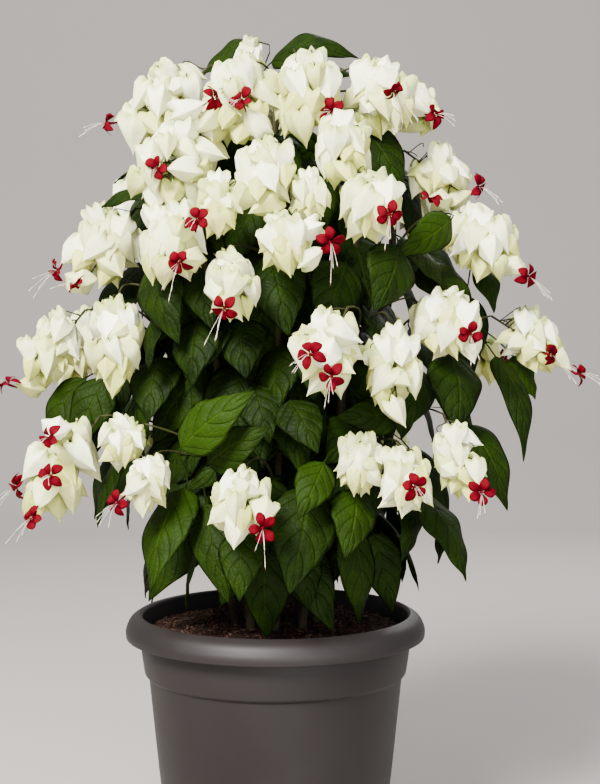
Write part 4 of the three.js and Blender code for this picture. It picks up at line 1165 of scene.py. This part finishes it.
def add_leaves(skin, leaves, seed, rows=BLADE_ROWS, columns=BLADE_COLUMNS):
    """Leaves in one sweep each: petiole, then blade.

    The path is a Bezier up the petiole and then base + s * chord + arch * sin(pi s). A ring's points go
    across the upper face and back under it. Across, a blade sinks towards its midrib in a soft V, swells
    between its lateral veins and waves at its edges.
    """
    rng = np.random.default_rng(seed)
    base, chord, normal, side = (np.array([placed[k] for _, placed, _, _ in leaves]) for k in range(4))
    arch = np.array([placed[4] for _, placed, _, _ in leaves])
    width = np.array([leaf["width"] for leaf, *_ in leaves])
    fold = np.where([leaf["shape"] == "folded" for leaf, *_ in leaves], FOLD, ROW_FOLD)
    joint = np.array([joint for *_, joint in leaves])
    tone = np.array([leaf["tone"] for leaf, *_ in leaves])
    count = len(leaves)

    s = np.linspace(0, 1, rows + 1)[:-1]
    middle = base[:, None] + s[:, None] * chord[:, None]
    middle = middle + (arch[:, None] * np.sin(np.pi * s))[..., None] * normal[:, None]
    departure = unit(chord + np.pi * arch[:, None] * normal)
    reach = np.linalg.norm(base - joint, axis=1, keepdims=True)
    first = joint + PETIOLE_PULL * reach * unit(base - joint + PETIOLE_CLIMB * reach * UP)
    second = base - PETIOLE_PULL * reach * departure
    petiole = bezier(joint, first, second, base, np.linspace(0, 1, PETIOLE_ROWS + 1)[:-1])

    x, face = round_a_blade(columns)
    half = np.maximum(0.5 * width[:, None] * blade_outline(s), PETIOLE_RADIUS * (1 - s))
    broad = ease(PETIOLE_RADIUS, BLADE_BREADTH, half)[..., None]
    lateral = 2 * np.pi * LATERAL_VEINS * (s[:, None] - VEIN_SLANT * np.abs(x) ** VEIN_CURVE)
    pillow = PILLOW_HEIGHT * (0.5 + 0.5 * np.cos(lateral)) * np.abs(x) ** 0.5 * (1 - x**2)
    phase = rng.uniform(0, 2 * np.pi, (count, 1, 1))
    pace = rng.uniform(*EDGE_WAVES, (count, 1, 1))
    run = 2 * np.pi * pace * s[None, :, None] + phase + EDGE_SHIFT * np.sign(x)
    wave = EDGE_WAVE * x**2 * np.sin(run)
    valley = fold[:, None, None] * half[..., None] * (np.sqrt(x**2 + FOLD_SOFTNESS) - FOLD_DEPTH)
    thick = 0.5 * BLADE_THICKNESS * (1 - x**4) * face
    stem = np.sqrt(1 - np.minimum(np.abs(x), 1) ** 2) * face * PETIOLE_RADIUS
    height = broad * (pillow + wave - valley + thick) + (1 - broad) * stem
    blade = (
        middle[:, :, None]
        + (half[..., None] * x)[..., None] * side[:, None, None]
        + height[..., None] * normal[:, None, None]
    )
    circle = PETIOLE_RADIUS * x[:, None] * side[:, None, None] + stem[:, None] * normal[:, None, None]
    rings = np.concatenate((petiole[:, :, None] + circle, blade), axis=1)
    ends = np.stack((joint, base + chord), axis=1)
    along = np.concatenate((np.full(PETIOLE_ROWS + 1, PETIOLE_ALONG), s, (1.0,)))
    skin.add(rings, ends, along, 0.5 + 0.5 * x, tone, upper=(face >= 0))


def inner_leaves():
    """Shaded leaves further in, by rule: they hang from the canes behind the outer shell."""
    between = draws_between(INNER_SEED)
    leaves = []
    for _ in range(INNER_LEAVES):
        out, sideways = compass(between(0, 2 * np.pi))
        height = between(*INNER_HEIGHT)
        radius = between(*INNER_RADIUS) * (1 - INNER_TAPER * ease(*INNER_TAPER_HEIGHT, height))
        base = radius * out + height * UP
        hang = unit(between(*INNER_LEAN) * out + between(*INNER_SPREAD) * sideways - UP)
        leaves.append({
            "base": base, "tip": base + between(*INNER_LENGTH) * hang, "width": between(*INNER_WIDTH),
            "tone": between(*INNER_TONE) + INNER_GLOW * (1 - radius / INNER_GLOW_RADIUS),
            "roll": between(-INNER_ROLL, INNER_ROLL), "arch": None, "shape": "folded",
        })
    return leaves


def build_leaves(leaf_finish):
    """The leaves of each cane as a piece that stands for its solid, and the inner leaves as one more."""
    leaves = placed_leaves()
    for number, name in enumerate(CANES):
        skin = Skin()
        add_leaves(skin, [leaf for leaf in leaves if leaf[2] == name], number)
        skin.piece(f"leaves_{name}", [leaf_finish], "foliage", [f"leafy_cane_{name}"])
    joints = joints_of_wood()
    smooth = np.array([joint[2] for joint in joints])
    inner = []
    for leaf in inner_leaves():
        placed = leaf_frame(leaf, (0, 0, 0))
        nearest = np.argmin(np.linalg.norm(smooth - placed[0], axis=1))
        inner.append((leaf, placed, joints[nearest][0], smooth[nearest]))
    skin = Skin()
    add_leaves(skin, inner, INNER_SEED, INNER_ROWS, INNER_COLUMNS)
    skin.piece("inner_leaves", [leaf_finish], "foliage")


# ---------------------------------------------------------------- panicles


def icosahedron():
    """Its corners as unit vectors, in the order of three.js's own, and the middles of its faces."""
    t = (1 + 5**0.5) / 2
    stock = np.array([
        (-1, t, 0), (1, t, 0), (-1, -t, 0), (1, -t, 0), (0, -1, t), (0, 1, t), (0, -1, -t), (0, 1, -t),
        (t, 0, -1), (t, 0, 1), (-t, 0, -1), (-t, 0, 1),
    ])
    corners = unit(stock[[11, 5, 0, 1, 7, 10, 9, 4, 2, 6, 8, 3]])
    near = corners @ corners.T > 0.4  # neighbours, whose cosine is 1 / sqrt(5)
    faces = [
        (a, b, c)
        for a in range(12) for b in range(a + 1, 12) for c in range(b + 1, 12)
        if near[a, b] and near[b, c] and near[a, c]
    ]
    return corners, unit(np.array([corners[list(face)].sum(axis=0) for face in faces]))


def panicle_frame(panicle, number):
    """A panicle's middle, its axis, half its length, and the directions of its corners and faces."""
    _, _, start, end, reach, _ = panicle
    start, end = np.array(start, float), np.array(end, float)
    axis = unit(end - start)
    half = 0.5 * (np.linalg.norm(end - start) + SPINE_OVERHANG * reach)
    corners, faces = icosahedron()
    stand = Vector(corners[0]).rotation_difference(Vector(-axis)).to_matrix()
    stand = np.array(Matrix.Rotation(PANICLE_TURN * number, 3, Vector(axis)) @ stand)
    return start + half * axis, axis, half, corners @ stand.T, faces @ stand.T


def stretched(directions, axis, half, reach):
    """Directions on a ball stretched to a panicle's half length along its axis and its reach across."""
    along = directions @ axis
    return reach * (directions - along[:, None] * axis) + half * along[:, None] * axis


def tips_of_solid(name, centre, rays):
    """How long the solid drew each calyx: the share of its ray at which the furthest corner on it lies."""
    points = corners_of_solid(name) - centre
    lengths = np.full(len(rays), PLAIN_TIP)
    for k, ray in enumerate(rays):
        share = points @ ray / (ray @ ray)
        off = np.linalg.norm(points - share[:, None] * ray, axis=1)
        on_ray = (off < SAME_PLACE) & (share > SOLID_TIPS[0]) & (share < SOLID_TIPS[1])
        if on_ray.any():
            lengths[k] = share[on_ray].max()
    return lengths


def add_calyces(skin, necks, tips, widths, tones, rng):
    """Five-ribbed heart-shaped calyces from their necks to their tips.

    Round the axis the radius is 1 - hollow * |sin(2.5 angle)|, greatest at the five ribs, which are sharp.
    Along it the radius follows the profile, and the ribs' shoulders rise behind the neck. Slow waves crumple
    each calyx, and its tip is bent and twisted a little.
    """
    count = len(necks)
    axis = tips - necks
    length = np.linalg.norm(axis, axis=1)
    axis = unit(axis)
    side, other = square_to(axis)
    angle = ring_angles(CALYX_RIBS * CALYX_COLUMNS)
    valley = np.abs(np.sin(0.5 * CALYX_RIBS * angle))
    on_rib, place, radius = np.array(CALYX_PROFILE).T
    phases = rng.uniform(0, 2 * np.pi, (len(CALYX_CRUMPLES), count, 1, 1))
    crumple = 1
    for (height, pace, waves), phase in zip(CALYX_CRUMPLES, phases):
        crumple = crumple + height * np.sin(pace * place[:, None] + waves * angle + phase)
    shape = radius[:, None] * (1 - CALYX_HOLLOW * valley) * crumple
    twist = rng.uniform(-CALYX_TWIST, CALYX_TWIST, (count, 1, 1)) * place[:, None] ** 2
    turn = angle + rng.uniform(0, 2 * np.pi, (count, 1, 1)) + twist
    squash = rng.uniform(*CALYX_SQUASH, (count, 1, 1))
    across = 0.5 * widths[:, None, None] * shape
    bend = length[:, None] * rng.uniform(-CALYX_BEND, CALYX_BEND, (count, 1)) * place**2
    forward = length[:, None, None] * (on_rib[:, None] + (place - on_rib)[:, None] * valley)
    rings = (
        necks[:, None, None]
        + forward[..., None] * axis[:, None, None]
        + (across * np.cos(turn) + bend[..., None])[..., None] * side[:, None, None]
        + (across * squash * np.sin(turn))[..., None] * other[:, None, None]
    )
    ends = np.stack((necks, tips + (bend[:, -1:] * side)), axis=1)
    along = np.concatenate(((0.0,), place, (1.0,)))
    skin.add(rings, ends, along, wrapped(CALYX_RIBS * angle + np.pi), tones, crease=valley < 0.01)


def add_corolla(skin, throat, axis, rng):
    """Five spreading lobes round a throat.

    A lobe's path goes out at an even pace and forward by bow sin(0.9 pi t) + sweep lean t^2 - curl t^3, so
    it first bows forward and then bends back. Its half width goes as sin(pi t^1.25)^0.6, and its edges
    stand forward of its middle.
    """
    side, other = square_to(axis)
    angle = rng.uniform(0, 2 * np.pi) + ring_angles(COROLLA_LOBES)
    angle = angle + rng.uniform(-LOBE_STRAY, LOBE_STRAY, COROLLA_LOBES)
    out = np.cos(angle)[:, None] * side + np.sin(angle)[:, None] * other
    roll = rng.uniform(-LOBE_ROLL, LOBE_ROLL, (COROLLA_LOBES, 1))
    sideways = np.cos(roll) * np.cross(axis, out) + np.sin(roll) * axis
    length = LOBE_LENGTH * rng.uniform(*COROLLA_SIZES) * rng.uniform(*LOBE_SIZES, COROLLA_LOBES)
    lean = rng.uniform(*LOBE_LEAN, COROLLA_LOBES)
    half = 0.5 * LOBE_WIDTH * np.maximum(np.sin(np.pi * LOBE_STATIONS**1.25), 0.05) ** 0.6
    x, face = round_a_blade(LOBE_COLUMNS)

    t = np.concatenate(((0.0,), LOBE_STATIONS, (1.0,)))
    outward = THROAT_RADIUS + length[:, None] * t
    forward = LOBE_BOW * np.sin(np.pi * t * 0.9) + lean[:, None] * LOBE_SWEEP * t**2 - LOBE_CURL * t**3
    path = throat + outward[..., None] * out[:, None] + forward[..., None] * axis
    rings = path[:, 1:-1, None] + (half[:, None] * x)[..., None] * sideways[:, None, None]
    rings = rings + (LOBE_THICKNESS * face + LOBE_CUP * half[:, None] * x**2)[..., None] * axis
    skin.add(rings, path[:, [0, -1]], t, 0.5 + 0.5 * x)


def add_stamens(skin, throat, axis, rng):
    """Long threads that leave the throat together, each with a small anther at its end.

    At a share t of its reach a thread has spread by t^1.5 and sagged by t^1.6.
    """
    side, other = square_to(axis)
    spread = rng.normal(0, STAMEN_SPREAD, (STAMENS, 2))
    reach = STAMEN_LENGTH * rng.uniform(*STAMEN_SIZES, STAMENS)
    t, girth = STAMEN_PROFILE.T
    path = throat + reach[:, None, None] * t[:, None] * axis
    sway = spread[:, :1] * side + spread[:, 1:] * other
    path = path + (reach[:, None] * t**1.5)[..., None] * sway[:, None]
    path = path - (STAMEN_SAG * reach[:, None] * t**1.6)[..., None] * UP
    add_tubes(skin, path, STAMEN_RADIUS * girth, STAMEN_SIDES)


def spread_flowers(panicle, centre, tips):
    """For each open flower: its throat, which calyx it comes out of and its direction out of the panicle."""
    flowers = []
    for place in panicle[5]:
        k = int(np.argmin(np.linalg.norm(centre + tips - place, axis=1)))
        foot = centre + FLOWER_FOOT * tips[k]
        flowers.append((np.array(place, float), k, unit(place - foot)))
    return flowers


def hang_calyces(centre, spots, outward, outer, flowers, size, rng):
    """The necks, tips, directions, widths and tones of a panicle's calyces, and which of them are kept.

    A calyx hangs out and down at its spot. Its middle lies inside the spot by its own half depth that way,
    sqrt((length * cos)^2 + (width * sin)^2) / 2 for the angle between its axis and the spot's ray. One that
    flowers follows its flower instead, and one between the others isn't kept where it would hide a flower.
    """
    count = len(spots)
    scale = size * np.where(outer, rng.uniform(*OUTER_SCALE, count), rng.uniform(*BETWEEN_SCALE, count))
    hang = HANG_OUT * outward * (1, 1, 0) - (HANG_DOWN - HANG_LIFT * outward[:, 2:]) * UP
    hang = unit(hang + rng.normal(0, HANG_STRAY, outward.shape))
    long, wide = CALYX_LENGTH * scale, CALYX_WIDTH * scale * rng.uniform(*WIDTH_STRAY, count)
    facing = np.sum(hang * unit(spots), axis=1)
    depth = 0.5 * np.sqrt((long * facing) ** 2 + wide**2 * (1 - facing**2))
    middle = centre + spots - depth[:, None] * unit(spots)
    tips = middle + 0.5 * long[:, None] * hang
    for place, k, axis_out in flowers:
        hang[k] = unit(axis_out + FLOWERING_HANG * hang[k])
        tips[k] = place - FLOWERING_GAP * axis_out
    necks = tips - long[:, None] * hang

    # Painted light and shade: outer and upward-facing calyces lighter, those between and downward-facing
    # darker. The stray is by chance.
    tones = np.where(outer, LIT_OUTER_TONE, SHADED_BETWEEN_TONE) + LIT_FROM_ABOVE_RISE * outward[:, 2]
    tones = np.clip(tones + rng.uniform(*TONE_STRAY, count), 0, 1)
    kept = outer | (rng.uniform(0, 1, count) < BETWEEN_KEPT)
    heart = (1 - CALYX_HEART) * necks + CALYX_HEART * tips
    for place, _, _ in flowers:
        kept &= outer | (np.linalg.norm(heart - place, axis=1) > FLOWER_ROOM)
    kept[[k for _, k, _ in flowers]] = True
    return necks, tips, hang, wide, tones, kept


def add_stalks(skin, start, stride, necks, hang):
    """A panicle's spine, straight along its stride, and pedicels that climb and bend over into the necks."""
    start = np.array(start, float)
    spine = bezier(*[start + share * stride for share in SPINE_HANDLES], np.linspace(0, 1, SPINE_POINTS))
    add_tubes(skin, spine[None], np.linspace(*SPINE_RADIUS, SPINE_POINTS), SPINE_SIDES, YOUNG_WOOD, 1)
    reach = SPINE_HANDLES[-1] * stride
    share = np.clip((necks - start) @ reach / (reach @ reach) - PEDICEL_LEAD, 0, 1)
    foot = start + share[:, None] * reach
    lift = PEDICEL_PULL * np.linalg.norm(necks - foot, axis=1, keepdims=True)
    first = foot + lift * unit(necks - foot + UP)
    second = necks - PEDICEL_NOD * lift * hang
    stems = bezier(foot, first, second, necks + PEDICEL_SINK * hang, np.linspace(0, 1, PEDICEL_POINTS))
    add_tubes(skin, stems, PEDICEL_RADIUS, PEDICEL_SIDES, YOUNG_WOOD, 1)


def build_panicle(number, panicle, finishes):
    """A panicle's calyces on their stalks, as the piece that stands for its solid, and its open flowers."""
    name = f"panicle_{number + 1:02d}"
    rng = np.random.default_rng(PANICLE_SEED + number)
    centre, axis, half, corners, faces = panicle_frame(panicle, number)
    _, _, start, _, reach, _ = panicle
    droop = TIP_DROOP * reach * UP
    rays = stretched(corners, axis, half, reach) - droop
    lengths = tips_of_solid(name, centre, rays)
    outermost = lengths[1:, None] * rays[1:]
    flowers = spread_flowers(panicle, centre, outermost)

    between = stretched(faces, axis, half, reach) - droop
    between = rng.uniform(*BETWEEN_SHARE, len(faces))[:, None] * between
    spots = np.concatenate((outermost, between))
    outward = unit(np.concatenate((corners[1:], faces)))
    outer = np.arange(len(spots)) < len(outermost)
    size = np.clip(reach / FULL_REACH, *CALYX_SIZES)
    necks, tips, hang, wide, tones, kept = hang_calyces(centre, spots, outward, outer, flowers, size, rng)

    skin = Skin()
    add_calyces(skin, necks[kept], tips[kept], wide[kept], tones[kept], rng)
    add_stalks(skin, start, half * axis, necks, hang)
    skin.piece(f"{name}_calyces", [finishes["calyx"], finishes["bark"]], "calyces", [name])
    if flowers:
        build_flowers(name, flowers, finishes, rng)


def build_flowers(name, flowers, finishes, rng):
    """A panicle's open flowers: each a slim tube out of its calyx, five red lobes and the threads in front.

    A corolla faces partly along its tube and mostly away from the mound and to the front, nearly level.
    """
    red, threads = Skin(), Skin()
    for place, _, axis in flowers:
        out = unit(place + COROLLA_TURN)
        facing = COROLLA_ALONG * axis * ALONG_LEVELLED + out * OUT_LEVELLED
        facing = unit(facing + rng.normal(0, COROLLA_STRAY, 3))
        foot = place - (FLOWERING_GAP + TUBE_FOOT) * axis
        first, second = foot + TUBE_HANDLES[0] * axis, place - TUBE_HANDLES[1] * facing
        path = bezier(foot, first, second, place, np.linspace(0, 1, TUBE_POINTS))
        add_tubes(red, path[None], np.linspace(*TUBE_RADIUS, TUBE_POINTS), TUBE_SIDES)
        add_corolla(red, place, facing, rng)
        add_stamens(threads, place - facing, facing, rng)
    red.piece(f"{name}_corollas", [finishes["corolla"]], "corollas")
    threads.piece(f"{name}_stamens", [finishes["stamen"]], "stamens")


# ---------------------------------------------------------------- stage, light and camera


def build_stage():
    """A plain pale floor that curves up, as a quarter of a circle, into a plain pale wall far behind."""
    flat = np.linspace(*FLOOR_DEPTH, FLOOR_ROWS)
    curve = BACKDROP_ROUNDING * np.array((np.sin(BACKDROP_BOW), 1 - np.cos(BACKDROP_BOW)))
    depth = np.concatenate((flat, flat[-1] + curve[0], (flat[-1] + BACKDROP_ROUNDING,)))
    height = np.concatenate((0 * flat, curve[1], (WALL_TOP,)))
    width = np.linspace(-FLOOR_HALF_WIDTH, FLOOR_HALF_WIDTH, FLOOR_COLUMNS)
    points = [(x, y, z) for y, z in zip(depth, height) for x in width]
    columns = len(width)
    faces = [
        (i * columns + j, i * columns + j + 1, (i + 1) * columns + j + 1, (i + 1) * columns + j)
        for i in range(len(depth) - 1) for j in range(columns - 1)
    ]
    mesh = bpy.data.meshes.new("floor")
    mesh.from_pydata(points, [], faces)
    mesh.shade_smooth()
    mesh.materials.append(material("pale floor", pale_floor))
    floor = bpy.data.objects.new("floor", mesh)
    bpy.context.scene.collection.objects.link(floor)


def aim(thing, place, target):
    """Puts a lamp or the camera at its place, turned towards its target."""
    place, target = (Vector(p) * MM for p in (place, target))
    thing.location = place
    thing.rotation_euler = (target - place).to_track_quat("-Z", "Y").to_euler()


def build_lights():
    for name, (place, size, power, colour) in LAMPS.items():
        lamp = bpy.data.lights.new(name, "AREA")
        lamp.shape = "DISK"
        lamp.size = size
        lamp.energy = power
        lamp.color = colour
        thing = bpy.data.objects.new(name, lamp)
        bpy.context.scene.collection.objects.link(thing)
        aim(thing, place, LAMP_AIM)
    world = bpy.data.worlds.new("studio")
    bpy.context.scene.world = world
    world.use_nodes = True
    background = world.node_tree.nodes["Background"]
    background.inputs["Color"].default_value = STUDIO_COLOUR
    background.inputs["Strength"].default_value = STUDIO_STRENGTH


def build_camera():
    lens = bpy.data.cameras.new("camera")
    lens.lens = CAMERA_LENS
    camera = bpy.data.objects.new("camera", lens)
    bpy.context.scene.collection.objects.link(camera)
    aim(camera, CAMERA_PLACE, CAMERA_AIM)
    bpy.context.scene.camera = camera


# ---------------------------------------------------------------- assembly

build_camera()
build_stage()
build_lights()

finishes = {
    "resin": material("pot resin", resin),
    "mix": material("bark mix", bark_mix),
    "bark": material("cane bark", cane_bark),
    "leaf": material("leaf", leaf_blade),
    "calyx": material("calyx", calyx_skin),
    "corolla": material("corolla", corolla_red),
    "stamen": material("stamen", stamen_thread),
}
build_pot(finishes["resin"])
build_soil(finishes["mix"])
build_wood(finishes["bark"])
build_leaves(finishes["leaf"])
for number, panicle in enumerate(PANICLES):
    build_panicle(number, panicle, finishes)
